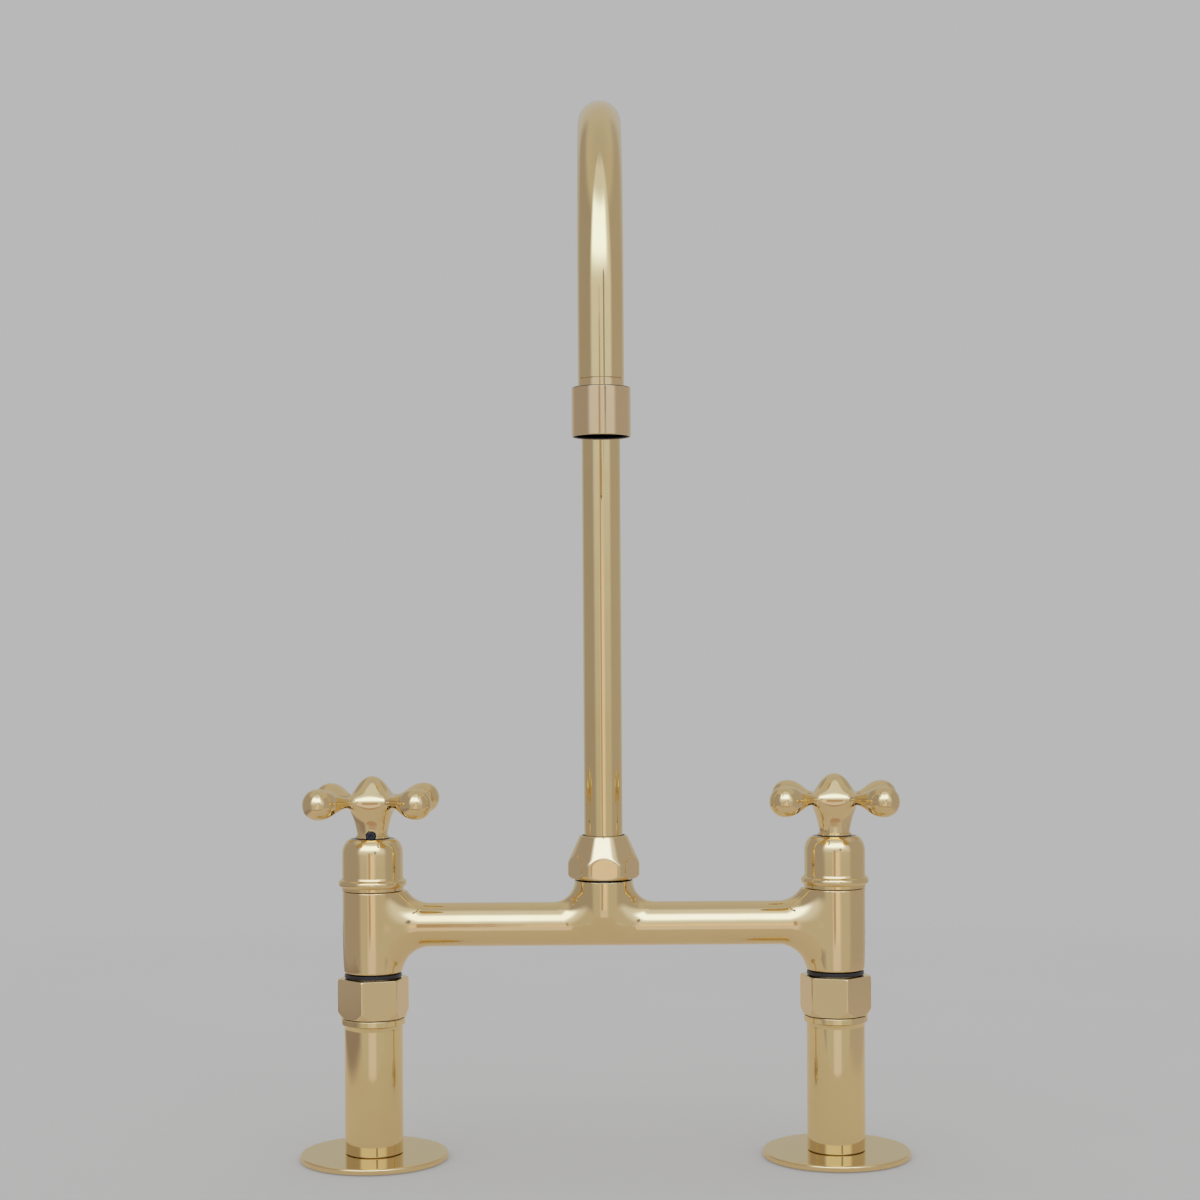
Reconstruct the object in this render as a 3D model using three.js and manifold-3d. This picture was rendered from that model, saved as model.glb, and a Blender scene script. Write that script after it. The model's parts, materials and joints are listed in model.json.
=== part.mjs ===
// Bridge kitchen faucet in polished brass: two inlet posts on deck flanges carry a cast bridge,
// a quarter-turn valve under a cross handle stands at each end, and a gooseneck spout swivels
// in the middle.
// Millimetres, z up from the deck, x along the bridge. The spout points forward, along -y.
import * as THREE from "three";
import { mergeVertices } from "three/addons/utils/BufferGeometryUtils.js";
import Module from "manifold-3d";

const wasm = await Module();
wasm.setup();

// ---- driving dimensions ----

// Layout
const postCentres = 203.2; // between the two inlet posts
const spoutReach = 157.5; // from the line of the posts forward to the outlet
const spoutRise = 251.5; // from the bridge bar's axis up to where the bend starts
const outletDrop = 32.3; // from where the bend ends down to the end of the tube

// Fits
const seam = 0.25; // between two faces that meet
const slip = 0.3; // all round a shaft, a sleeve or a thread in its hole

// Roundness
const roundSides = 24; // sides of the large turned pieces
const smallSides = 16; // sides of the small turned pieces
const armSides = 10; // sides of a handle's arm
const ringSides = 6; // sides of an O-ring's section
const arcSteps = 8; // steps along an arc in an outline
const bendSteps = 20; // steps round the spout's bend
const neckSteps = 5; // steps up the tee's neck
const webSteps = 9; // steps up the web at the neck's foot

// Deck flange
const flangeDiameter = 64.8;
const flangeThickness = 2.5;
const flangeEase = 0.6; // worn-off top edge

// Post
const postDiameter = 25.5;
const postHeight = 61.8;
const postFootDiameter = 22.9; // part that passes through the flange
const postBore = 15;
const inletBore = 19; // threaded socket for the supply pipe
const inletDepth = 16;
const collarDiameter = 27.9; // raised rim at the top of the post
const collarHeight = 2.6;
const collarCove = 2.2; // height of the hollow curve under the rim

// Union between post and bridge
const tailDiameter = 19;
const tailBore = 14.5;
const tailDepth = 11; // how far the tail screws into the post
const tailFlange = 2.2;
const nutFlats = 27.4; // across flats
const nutAngles = { left: 16.5, right: -16.5 }; // degrees, how each nut was left by the spanner
const nutHeight = 17.2;
const nutLip = 2.4; // inward lip that pulls on the tail's flange
const nutFootDiameter = 28.2; // face at the lower end, inside the bevel
const nutBevel = 3; // height of the lower bevel
const nutTopDiameter = 30.6;
const nutTopBevel = 0.9;
const unionWasher = 1.6;
const unionWasherHole = 15.4;
const sealRing = 1.75; // height of the black ring over the nut
const sealRingDiameter = 26;

// Bridge casting
const barDiameter = 19;
const barBore = 11;
const barrelDiameter = 26.4;
const barrelFootDiameter = 25; // the barrel draws in towards its lower face
const barrelBelow = 20.8; // from the bar's axis down to the barrel's lower face
const barrelAbove = 15.2; // from the bar's axis up to the barrel's top face
const neckDiameter = 22; // threaded neck under each barrel
const neckBore = 12;
const chamberBore = 20; // valve chamber in each barrel
const seatBelow = 9; // from the bar's axis down to the valve's seat
const barrelFlare = 8; // how far the bar widens before it meets a barrel
const teeDiameter = 26.4;
const teeRise = 19.5; // from the bar's axis up to the tee's shoulder
const teeFlare = 9; // radius where the tee runs into the bar
const teeSpigotDiameter = 22; // threaded spigot inside the spout nut
const teeSpigot = 8.8;
const teeBoreFloor = 4; // from the bar's axis up to the floor of the tee's bore

// Valve cartridge
const cartridgeHead = 5; // height of the hexagon
const cartridgeStem = 10.6; // height of the neck over the hexagon
const cartridgeStemDiameter = 12.6;
const cartridgeBore = 16; // room for the discs
const windowWidth = 9;
const windowHeight = 8;
const seatSeal = 2.2;
const seatSealHole = 12.4;
const fixedDisc = 3;
const movingDisc = 2.5;
const discGap = 0.1; // water film between the two discs
const portRadius = 5.6;
const portAngle = 80; // degrees, each of two ports
const spindleDiameter = 8;
const spindleFoot = 2.5;
const spindleSpline = 7.4; // diameter of the end inside the handle
const splineLength = 14;
const splineTeeth = 12;
const splineDepth = 0.3;
const stemRingSection = 1.3;
const stemRingHeight = 9; // over the chamber's roof
const clipThickness = 0.9;
const clipDiameter = 11.6;
const clipMouth = 60; // degrees

// Bonnet
const bonnetHeight = 22.75;
const bonnetDiameter = 26.6;
const bonnetFootDiameter = 27;
const bonnetFoot = 1.4;
const beadDiameter = 29.7;
const beadHeight = 4.2;
const bonnetShoulder = 6.8; // height of the rounded shoulder
const bonnetTopDiameter = 17.2;
const bonnetWall = 2;
const bonnetWeb = 3; // thickness of the top round the handle's neck

// Cross handle
const lipDiameter = 14.7;
const lipAboveBonnet = 1.1;
const lipBelowBonnet = 1.6;
const lipStep = 0.7; // how far the lip stands out from the neck
const handleNeckTop = 17.4; // diameter where the neck runs into the arms
const neckLength = 8.6;
const hubDiameter = 19.4;
const armsAboveBonnet = 16.2; // from the bonnet's top up to the arms' axis
const domeRise = 11; // from the arms' axis up to the top of the dome
const armWaist = 4.7; // thinnest part of an arm
const armWaistAt = 15; // from the handle's axis
const bulbDiameter = 13.5;
const bulbAt = 29.2; // from the handle's axis
const armReach = 36.5; // from the handle's axis to the end of an arm
const armAngles = [45, 135, 225, 315]; // degrees, from the bridge's line
const grubDiameter = 3.9;
const grubSocket = 2.3; // across corners
const grubSocketDepth = 1.6;
const grubAboveBonnet = 1.2;
const restAngles = { left: 0, right: 174 }; // degrees, how each handle stands when closed

// Spout
const tubeDiameter = 16.8;
const tubeWall = 1.2;
const stemDiameter = 17; // swivel stem in the tee
const stemLength = 21;
const stemBore = 11;
const stemFlange = 2;
const thrustWasher = 1;
const bushFlange = 1;
const bushWall = 0.4;
const bushRecess = 0.6; // how far the bush stops under the nut's top
const stemPlug = 8; // how far the stem reaches up into the tube
const ringSection = 1.7;
const ringHeights = [4, 9]; // of the two O-rings over the foot of the stem
const spoutNutDiameter = 31.4; // turned diameter, which takes the corners off
const spoutNutFlats = 28.9;
const spoutNutFootDiameter = 26.5;
const spoutNutRim = 0.95; // thickness at the top
const spoutNutHeight = 18.9;
const spoutNutBand = 7.2; // height where the cone starts
const spoutNutRound = 2.2; // height of the rounded foot
const spoutNutGap = 0.5; // dark line over the tee

// Aerator
const endBand = 2.9; // visible band of the end ring, under the tube
const endThread = 5; // part of the end ring inside the housing
const endRingBore = 11;
const housingDiameter = 21.6;
const housingHeight = 18;
const housingRound = 0.5; // worn-off upper edge
const mouthDiameter = 20.6; // recess in the outlet's lower face, which takes the screen
const screenRecess = 0.3; // how far the screen stops inside the mouth
const aeratorWasher = 1.6;
const screenThickness = 0.6;
const screenHole = 2;
const screenPitch = 3.1;
const insertWall = 1.6;
const insertHoles = 8;
const insertHole = 1.8;

// ---- sizes that follow ----

const postFoot = flangeThickness + seam;
const nutBase = postHeight + seam;
const tailFlangeBase = nutBase + nutLip + seam;
const unionWasherBase = tailFlangeBase + tailFlange + seam;
const neckBase = unionWasherBase + unionWasher + seam;
const sealRingBase = nutBase + nutHeight + seam;
const barrelBase = sealRingBase + sealRing + seam;
const bridgeAxis = barrelBase + barrelBelow;
const barrelTop = bridgeAxis + barrelAbove;
const nutBore = neckDiameter + 2 * slip;
const tailFlangeDiameter = nutBore - 2 * slip;

const seatHeight = bridgeAxis - seatBelow;
const seatSealBase = seatHeight + seam;
const sleeveBase = seatSealBase + seatSeal + seam;
const movingDiscBase = sleeveBase + fixedDisc + discGap;
const footBase = movingDiscBase + movingDisc + discGap;
const chamberRoof = footBase + spindleFoot + seam;
const headBase = barrelTop + seam;
const cartridgeTop = headBase + cartridgeHead + cartridgeStem;
const clipBase = cartridgeTop + seam;
const discDiameter = cartridgeBore - 2 * slip;
const bonnetBase = barrelTop + seam;
const bonnetTop = bonnetBase + bonnetHeight;
const bonnetBore = bonnetDiameter - 2 * bonnetWall;
const cartridgeFlats = (bonnetBore - 2 * slip) * Math.cos(Math.PI / 6); // corners clear of the bonnet
const lipHole = lipDiameter + 2 * slip;
const handleNeck = lipDiameter - 2 * lipStep;
const handleBase = bonnetTop - lipBelowBonnet;
const armAxis = bonnetTop + armsAboveBonnet;
const splineBase = handleBase + lipBelowBonnet;
const spindleTop = splineBase + splineLength;
const grubHeight = bonnetTop + grubAboveBonnet;

const teeBore = stemDiameter + 2 * slip;
const swivelDiameter = teeSpigotDiameter - 2 * slip; // flange, thrust washer and bush inside the nut
const teeShoulder = bridgeAxis + teeRise;
const spigotTop = teeShoulder + teeSpigot;
const thrustBase = spigotTop + seam;
const stemFlangeBase = thrustBase + thrustWasher + seam;
const tubeFoot = stemFlangeBase + stemFlange + seam;
const bushBase = tubeFoot;
const spoutNutBase = teeShoulder + spoutNutGap;
const spoutNutTop = spoutNutBase + spoutNutHeight;
const spoutNutWebBase = bushBase + bushFlange + seam;
const bushHole = tubeDiameter + 2 * slip;
const bushDiameter = bushHole + 2 * bushWall;
const spoutNutHole = bushDiameter + 2 * slip;
const spoutNutTopDiameter = spoutNutHole + 2 * spoutNutRim;
const tubeBore = tubeDiameter - 2 * tubeWall;
const bendRadius = spoutReach / 2;
const bendHeight = bridgeAxis + spoutRise;
const tubeEnd = bendHeight - outletDrop;
const bandTop = tubeEnd - seam;
const housingTop = bandTop - endBand;
const housingBase = housingTop - housingHeight;
const housingBore = tubeDiameter + 2 * slip;
const aeratorFit = housingBore - 2 * slip; // diameter of what lies in the housing
const endRingFoot = housingTop - endThread;
const aeratorWasherBase = endRingFoot - seam - aeratorWasher;
const screenBase = housingBase + screenRecess;
const mouthRoof = screenBase + screenThickness + seam;
const insertBase = mouthRoof;
const insertHeight = aeratorWasherBase - seam - insertBase;

// ---- solids ----

// A closed three.js geometry as a solid that can be joined and cut.
function solid(shape) {
  if (!shape.isBufferGeometry) return shape;
  const bare = new THREE.BufferGeometry();
  bare.setAttribute("position", shape.getAttribute("position"));
  bare.setIndex(shape.index);
  const merged = mergeVertices(bare, 1e-4);
  const corners = merged.index.array;
  const kept = [];
  for (let i = 0; i < corners.length; i += 3) {
    const [a, b, c] = corners.slice(i, i + 3);
    if (a !== b && b !== c && c !== a) kept.push(a, b, c); // a lathe has empty faces at its poles
  }
  const vertProperties = new Float32Array(merged.attributes.position.array);
  const mesh = new wasm.Mesh({ numProp: 3, vertProperties, triVerts: new Uint32Array(kept) });
  return new wasm.Manifold(mesh);
}

const join = (...shapes) => shapes.map(solid).reduce((whole, next) => whole.add(next));
const cut = (shape, ...tools) => solid(shape).subtract(join(...tools));
const common = (...shapes) => shapes.map(solid).reduce((left, next) => left.intersect(next));

// A profile of [radius, height] turned about z, listed up the outside and down the inside.
// One that starts off the axis closes on itself as a ring.
function turned(profile, sides = roundSides) {
  const points = profile.map(([radius, height]) => new THREE.Vector2(radius, height));
  if (points[0].x > 0) points.push(points[0].clone());
  return new THREE.LatheGeometry(points, sides).rotateX(Math.PI / 2);
}

function rod(diameter, from, to, sides = roundSides) {
  const r = diameter / 2;
  return turned([[0, from], [r, from], [r, to], [0, to]], sides);
}

function pipe(outer, inner, from, to, sides = roundSides) {
  const [r, bore] = [outer / 2, inner / 2];
  return turned([[r, from], [r, to], [bore, to], [bore, from]], sides);
}

// An outline drawn in x and y, as thick as from one height to the other.
function extruded(outline, from, to) {
  const options = { depth: to - from, bevelEnabled: false, curveSegments: arcSteps };
  return new THREE.ExtrudeGeometry(outline, options).translate(0, 0, from);
}

// An upright prism with one flat facing forward.
const prism = (flats, sides, from, to) =>
  rod(flats / Math.cos(Math.PI / sides), from, to, sides).rotateZ(Math.PI / sides);

// A rubber ring of round section, with its lowest point at z 0.
function oRing(meanRadius, section) {
  const ring = new THREE.TorusGeometry(meanRadius, section / 2, ringSides, smallSides);
  return ring.translate(0, 0, section / 2);
}

// Points [u, v] along a quarter ellipse from `from` to `to`. It leaves `from` along z.
function quarter([r0, z0], [r1, z1], steps) {
  const points = [];
  for (let i = 0; i <= steps; i++) {
    const turn = (i / steps) * (Math.PI / 2);
    points.push([r1 + (r0 - r1) * Math.cos(turn), z0 + (z1 - z0) * Math.sin(turn)]);
  }
  return points;
}

// ---- materials and nodes ----

function finish(color, roughness, metalness) {
  return () => new THREE.MeshStandardMaterial({ color, roughness, metalness });
}

const polishedBrass = finish(0xb7a06a, 0.12, 1);
const machinedBrass = finish(0xb08d4f, 0.35, 1);
const blackRubber = finish(0x141416, 0.7, 0);
const darkNylon = finish(0x1e1d1c, 0.5, 0);
const whitePlastic = finish(0xdedbd2, 0.5, 0);
const ceramic = finish(0xece8df, 0.25, 0);
const steel = finish(0x6f6e6c, 0.3, 1);

function piece(name, material, shape) {
  const { vertProperties, triVerts } = solid(shape).getMesh();
  const geometry = new THREE.BufferGeometry();
  geometry.setAttribute("position", new THREE.BufferAttribute(vertProperties, 3));
  geometry.setIndex(new THREE.BufferAttribute(triVerts, 1));
  geometry.computeVertexNormals();
  const mesh = new THREE.Mesh(geometry, material());
  mesh.name = name;
  return mesh;
}

// ---- pieces of each inlet, round the post's axis ----

function deckFlange() {
  const [rim, hole] = [flangeDiameter / 2, postFootDiameter / 2 + slip];
  return turned([
    [hole, 0],
    [rim, 0],
    [rim, flangeThickness - flangeEase],
    [rim - flangeEase, flangeThickness],
    [hole, flangeThickness],
  ]);
}

function post() {
  const [body, foot, rim] = [postDiameter / 2, postFootDiameter / 2, collarDiameter / 2];
  const rimBase = postHeight - collarHeight;
  const tailHole = tailDiameter / 2 + slip;
  const tailFloor = postHeight - tailDepth - seam;
  const [bore, inlet] = [postBore / 2, inletBore / 2];
  const cove = quarter([body, rimBase - collarCove], [rim, rimBase], 2);
  return turned([
    [inlet, 0],
    [foot, 0],
    [foot, postFoot],
    [body, postFoot],
    ...cove,
    [rim, postHeight],
    [tailHole, postHeight],
    [tailHole, tailFloor],
    [bore, tailFloor],
    [bore, inletDepth],
    [inlet, inletDepth],
  ]);
}

function unionTail() {
  const [flange, tail, bore] = [tailFlangeDiameter / 2, tailDiameter / 2, tailBore / 2];
  return turned([
    [bore, postHeight - tailDepth],
    [tail, postHeight - tailDepth],
    [tail, tailFlangeBase],
    [flange, tailFlangeBase],
    [flange, tailFlangeBase + tailFlange],
    [bore, tailFlangeBase + tailFlange],
  ], smallSides);
}

function unionNut(degrees) {
  const corner = nutFlats / Math.sqrt(3);
  const [low, high] = [nutBase, nutBase + nutHeight];
  const bevelled = turned([
    [0, low],
    [nutFootDiameter / 2, low],
    [corner, low + nutBevel],
    [corner, high - nutTopBevel],
    [nutTopDiameter / 2, high],
    [0, high],
  ]);
  const hexagon = prism(nutFlats, 6, low, high).rotateZ(THREE.MathUtils.degToRad(degrees));
  const thread = rod(nutBore, low + nutLip, high + seam);
  return cut(common(bevelled, hexagon), thread, rod(tailDiameter + 2 * slip, low - seam, high));
}

const unionWasherRing = () =>
  pipe(tailFlangeDiameter, unionWasherHole, unionWasherBase, unionWasherBase + unionWasher, smallSides);

const nutSealRing = () => pipe(sealRingDiameter, nutBore, sealRingBase, sealRingBase + sealRing);

function bonnet() {
  const z = (height) => bonnetBase + height;
  const [foot, bead, body] = [bonnetFootDiameter / 2, beadDiameter / 2, bonnetDiameter / 2];
  const beadTop = bonnetFoot + beadHeight;
  const beadRound = beadHeight / 4;
  const shoulderBase = bonnetHeight - bonnetShoulder;
  const bore = bonnetBore / 2;
  const outer = [
    [foot, z(0)],
    [foot, z(bonnetFoot)],
    [bead, z(bonnetFoot + beadRound)],
    [bead, z(beadTop - beadRound)],
    [body, z(beadTop)],
  ];
  const shoulder = quarter([body, z(shoulderBase)], [bonnetTopDiameter / 2, bonnetTop], 4);
  return turned([
    ...outer,
    ...shoulder,
    [lipHole / 2, bonnetTop],
    [lipHole / 2, bonnetTop - bonnetWeb],
    [bore, bonnetTop - bonnetWeb - bonnetWall],
    [bore, z(0)],
  ]);
}

// ---- pieces of each valve ----

function cartridgeBody() {
  const sleeve = rod(chamberBore - 2 * slip, sleeveBase, headBase + seam, smallSides);
  const head = prism(cartridgeFlats, 6, headBase, headBase + cartridgeHead);
  const stem = rod(cartridgeStemDiameter, headBase, cartridgeTop, smallSides);
  const chamber = rod(cartridgeBore, sleeveBase - seam, chamberRoof, smallSides);
  const shaftHole = rod(spindleDiameter + 2 * slip, sleeveBase, cartridgeTop + seam, smallSides);
  const windows = new THREE.BoxGeometry(chamberBore, windowWidth, windowHeight)
    .translate(0, 0, movingDiscBase + windowHeight / 2);
  return cut(join(sleeve, head, stem), chamber, shaftHole, windows);
}

// Two opposite ports, each a sector round the disc's axis.
function ports(turn, from, to) {
  const half = THREE.MathUtils.degToRad(portAngle / 2);
  return [0, Math.PI].map((side) => {
    const centre = side + turn;
    const sector = new THREE.Shape();
    sector.absarc(0, 0, portRadius, centre - half, centre + half, false);
    sector.absarc(0, 0, portRadius / 4, centre + half, centre - half, true);
    return extruded(sector, from, to);
  });
}

function valveDisc(base, thickness, portTurn) {
  const disc = rod(discDiameter, base, base + thickness, smallSides);
  return cut(disc, ...ports(portTurn, base - seam, base + thickness + seam));
}

const seatSealRing = () =>
  pipe(chamberBore - 4 * slip, seatSealHole, seatSealBase, seatSealBase + seatSeal, smallSides);

const stemRingBase = chamberRoof + stemRingHeight;
const stemGroove = spindleDiameter - 2 * stemRingSection;

function spindle() {
  const foot = (discDiameter - 2 * slip) / 2;
  const [shaft, groove] = [spindleDiameter / 2, stemGroove / 2];
  const clipSeat = spindleDiameter / 2 - clipThickness;
  const grooveTop = stemRingBase + stemRingSection + seam;
  const clipGrooveTop = clipBase + clipThickness + seam;
  const shank = turned([
    [0, footBase],
    [foot, footBase],
    [foot, footBase + spindleFoot],
    [shaft, footBase + spindleFoot],
    [shaft, stemRingBase - seam],
    [groove, stemRingBase - seam],
    [groove, grooveTop],
    [shaft, grooveTop],
    [shaft, clipBase - seam],
    [clipSeat, clipBase - seam],
    [clipSeat, clipGrooveTop],
    [shaft, clipGrooveTop],
    [shaft, splineBase],
    [0, splineBase],
  ], smallSides);
  const spline = new THREE.Shape();
  for (let i = 0; i < 2 * splineTeeth; i++) {
    const radius = spindleSpline / 2 - (i % 2) * splineDepth;
    const turn = (i / splineTeeth) * Math.PI;
    spline[i ? "lineTo" : "moveTo"](radius * Math.cos(turn), radius * Math.sin(turn));
  }
  return join(shank, extruded(spline, splineBase - seam, spindleTop));
}

const stemORing = () =>
  oRing(stemGroove / 2 + slip / 3 + stemRingSection / 2, stemRingSection).translate(0, 0, stemRingBase);

// A flat spring ring, open at the back.
function retainingClip() {
  const half = THREE.MathUtils.degToRad(clipMouth / 2);
  const inner = spindleDiameter / 2 - clipThickness + slip;
  const [from, to] = [Math.PI / 2 + half, Math.PI / 2 - half + 2 * Math.PI];
  const ring = new THREE.Shape();
  ring.absarc(0, 0, clipDiameter / 2, from, to, false);
  ring.absarc(0, 0, inner, to, from, true);
  return extruded(ring, clipBase, clipBase + clipThickness);
}

// Half of an arm's outline: how thick it is at each distance from the handle's axis.
function armProfile() {
  const [waist, bulb] = [armWaist / 2, bulbDiameter / 2];
  const swell = bulbAt - armWaistAt;
  const profile = [[0, 0], [waist, 0], [waist, armWaistAt]];
  for (const part of [0.3, 0.55, 0.8, 1]) {
    const rise = (1 - Math.cos(part * Math.PI)) / 2;
    profile.push([waist + (bulb - waist) * rise, armWaistAt + swell * part]);
  }
  const end = quarter([bulb, bulbAt], [0, armReach], 4);
  return [...profile, ...end.slice(1)];
}

function crossHandle() {
  const [lip, neck, neckTop] = [lipDiameter / 2, handleNeck / 2, handleNeckTop / 2];
  const hub = hubDiameter / 2;
  const lipTop = bonnetTop + lipAboveBonnet;
  const neckBottom = lipTop + lipStep;
  const neckEnd = lipTop + neckLength;
  const domeBase = armAxis + armWaist / 2;
  const domeTop = armAxis + domeRise;
  const domeShape = [[0.86, 0.27], [0.63, 0.64], [0.38, 0.88], [0.18, 0.97]];
  const dome = domeShape.map(([r, h]) => [hub * r, domeBase + (domeTop - domeBase) * h]);
  const body = turned([
    [0, handleBase],
    [lip, handleBase],
    [lip, lipTop],
    [neck, neckBottom],
    [neckTop, neckEnd],
    [hub, armAxis - armWaist / 2],
    [hub, domeBase],
    ...dome,
    [0, domeTop],
  ], smallSides);
  const arms = armAngles.map((degrees) =>
    turned(armProfile(), armSides)
      .rotateY(Math.PI / 2)
      .translate(0, 0, armAxis)
      .rotateZ(THREE.MathUtils.degToRad(degrees)));
  const socket = rod(spindleSpline + 2 * slip, handleBase - seam, spindleTop + seam, smallSides);
  const shaftRoom = rod(spindleDiameter + 2 * slip, handleBase - seam, splineBase + seam, smallSides);
  const grubHole = grubBar(grubDiameter + 2 * slip, 0, lipDiameter);
  return cut(join(body, ...arms), socket, shaftRoom, grubHole);
}

// A round bar that points forward through the handle's neck at the grub screw's height.
const grubBar = (diameter, from, to, sides = smallSides / 2) =>
  rod(diameter, from, to, sides).rotateX(Math.PI / 2).translate(0, 0, grubHeight);

function grubScrew() {
  const tip = spindleSpline / 2 + slip;
  const face = lipDiameter / 2 - seam;
  return cut(grubBar(grubDiameter, tip, face), grubBar(grubSocket, face - grubSocketDepth, face + seam, 6));
}

// ---- the bridge ----

// An upright column with an elliptical section: half its width along the bar and across it are
// given for each height.
function column(height, steps, along, across) {
  const shape = new THREE.CylinderGeometry(1, 1, height, roundSides, steps)
    .rotateX(Math.PI / 2)
    .translate(0, 0, height / 2);
  const place = shape.getAttribute("position");
  for (let i = 0; i < place.count; i++) {
    const z = place.getZ(i);
    place.setXY(i, place.getX(i) * along(z), place.getY(i) * across(z));
  }
  return shape;
}

// The tee's neck runs into the bar: the neck itself narrows to the bar's front and back, and a
// web as deep as the bar flares out along it on both sides.
function teeNeck() {
  const [neck, bar] = [teeDiameter / 2, barDiameter / 2];
  const flareTop = bar + teeFlare;
  const narrowing = (z) => Math.sin(((1 - Math.min(1, z / flareTop)) * Math.PI) / 2) ** 2;
  const flare = (z) => Math.sqrt(1 - Math.min(1, (flareTop - z) / teeFlare) ** 2);
  return join(
    column(teeRise, neckSteps, () => neck, (z) => neck - (neck - bar + seam) * narrowing(z)),
    column(flareTop - seam, webSteps, (z) => neck + teeFlare * (1 - flare(z)),
      (z) => bar * Math.sqrt(1 - (z / flareTop) ** 2)),
  );
}

function bridgeBody() {
  const [bar, barrel] = [barDiameter / 2, barrelDiameter / 2];
  const half = postCentres / 2;
  const widest = barrel - seam; // the bar's widened end stays just inside the barrel's outline
  const flare = quarter([bar, barrel + barrelFlare], [widest, barrel - seam], 4);
  const mirrored = flare.map(([r, x]) => [r, x - half]).reverse();
  const run = turned([
    [0, -half],
    [widest, -half],
    ...mirrored,
    ...flare.map(([r, x]) => [r, half - x]),
    [widest, half],
    [0, half],
  ], smallSides).rotateY(Math.PI / 2);
  const neck = neckDiameter / 2;
  const neckFoot = neckBase - bridgeAxis;
  const drawnIn = quarter([barrel, 0], [barrelFootDiameter / 2, -barrelBelow], 3).reverse();
  const barrelProfile = [
    [0, neckFoot],
    [neck, neckFoot],
    [neck, -barrelBelow],
    ...drawnIn,
    [barrel, barrelAbove],
    [0, barrelAbove],
  ];
  const sides = [-half, half];
  const barrels = sides.map((x) => turned(barrelProfile).translate(x, 0, 0));
  const spigot = rod(teeSpigotDiameter, 0, teeRise + teeSpigot);
  const bores = sides.flatMap((x) => [
    rod(neckBore, neckFoot - seam, 0, smallSides).translate(x, 0, 0),
    rod(chamberBore, -seatBelow, barrelAbove + seam).translate(x, 0, 0),
  ]);
  const waterway = rod(barBore, -half, half, smallSides / 2).rotateY(Math.PI / 2);
  const swivelBore = rod(teeBore, teeBoreFloor, teeRise + teeSpigot + seam);
  return cut(join(run, ...barrels, teeNeck(), spigot), ...bores, waterway, swivelBore);
}

function spoutNut() {
  const [foot, body, top] = [spoutNutFootDiameter / 2, spoutNutDiameter / 2, spoutNutTopDiameter / 2];
  const roundFoot = quarter([body, spoutNutRound], [foot, 0], 3).reverse();
  const outside = turned([
    [0, 0],
    ...roundFoot,
    [body, spoutNutBand],
    [top, spoutNutHeight],
    [0, spoutNutHeight],
  ]);
  const hexagon = prism(spoutNutFlats, 6, -seam, spoutNutHeight + seam);
  const webBase = spoutNutWebBase - spoutNutBase;
  const thread = rod(teeSpigotDiameter + 2 * slip, -seam, webBase);
  const tubeHole = rod(spoutNutHole, 0, spoutNutHeight + seam);
  return cut(common(outside, hexagon), thread, tubeHole);
}

// ---- the spout ----

// Up the riser, over a half circle and down to the outlet. Each straight is one step.
class SpoutPath extends THREE.Curve {
  place(t) {
    const step = t * (bendSteps + 2);
    if (step <= 1) return { y: 0, z: THREE.MathUtils.lerp(tubeFoot, bendHeight, step), turn: 0 };
    if (step < bendSteps + 1) {
      const turn = ((step - 1) / bendSteps) * Math.PI;
      const y = bendRadius * (Math.cos(turn) - 1);
      return { y, z: bendHeight + bendRadius * Math.sin(turn), turn };
    }
    const down = step - bendSteps - 1;
    return { y: -spoutReach, z: THREE.MathUtils.lerp(bendHeight, tubeEnd, down), turn: Math.PI };
  }
  getPoint(t, point = new THREE.Vector3()) {
    const { y, z } = this.place(t);
    return point.set(0, y, z);
  }
  getTangent(t, tangent = new THREE.Vector3()) {
    const { turn } = this.place(t);
    return tangent.set(0, -Math.sin(turn), Math.cos(turn));
  }
  getUtoTmapping(u) {
    return u;
  }
}

function spoutTube() {
  const circle = (radius) => Array.from({ length: smallSides }, (_, i) => {
    const turn = (i / smallSides) * 2 * Math.PI;
    return new THREE.Vector2(radius * Math.cos(turn), radius * Math.sin(turn));
  });
  const section = new THREE.Shape(circle(tubeDiameter / 2));
  section.holes.push(new THREE.Path(circle(tubeBore / 2)));
  return new THREE.ExtrudeGeometry(section, { steps: bendSteps + 2, extrudePath: new SpoutPath() });
}

const stemGrooveRadius = stemDiameter / 2 - ringSection;
const stemFoot = stemFlangeBase - stemLength;

function spoutStem() {
  const [body, bore, plug] = [stemDiameter / 2, stemBore / 2, tubeBore / 2 - slip];
  const grooves = ringHeights.flatMap((height) => {
    const [low, high] = [stemFoot + height - seam, stemFoot + height + ringSection + seam];
    return [[body, low], [stemGrooveRadius, low], [stemGrooveRadius, high], [body, high]];
  });
  return turned([
    [bore, stemFoot],
    [body, stemFoot],
    ...grooves,
    [body, stemFlangeBase],
    [swivelDiameter / 2, stemFlangeBase],
    [swivelDiameter / 2, stemFlangeBase + stemFlange],
    [plug, stemFlangeBase + stemFlange],
    [plug, tubeFoot + stemPlug],
    [bore, tubeFoot + stemPlug],
  ], smallSides);
}

const spoutORing = (height) =>
  oRing(stemGrooveRadius + slip / 3 + ringSection / 2, ringSection).translate(0, 0, stemFoot + height);

const thrustRing = () =>
  pipe(swivelDiameter, teeBore, thrustBase, thrustBase + thrustWasher, smallSides);

function swivelBush() {
  const [flange, sleeve, hole] = [swivelDiameter / 2, bushDiameter / 2, bushHole / 2];
  const top = spoutNutTop - bushRecess;
  return turned([
    [hole, bushBase],
    [flange, bushBase],
    [flange, bushBase + bushFlange],
    [sleeve, bushBase + bushFlange],
    [sleeve, top],
    [hole, top],
  ]);
}

// ---- the aerator, round the outlet's axis ----

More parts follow.
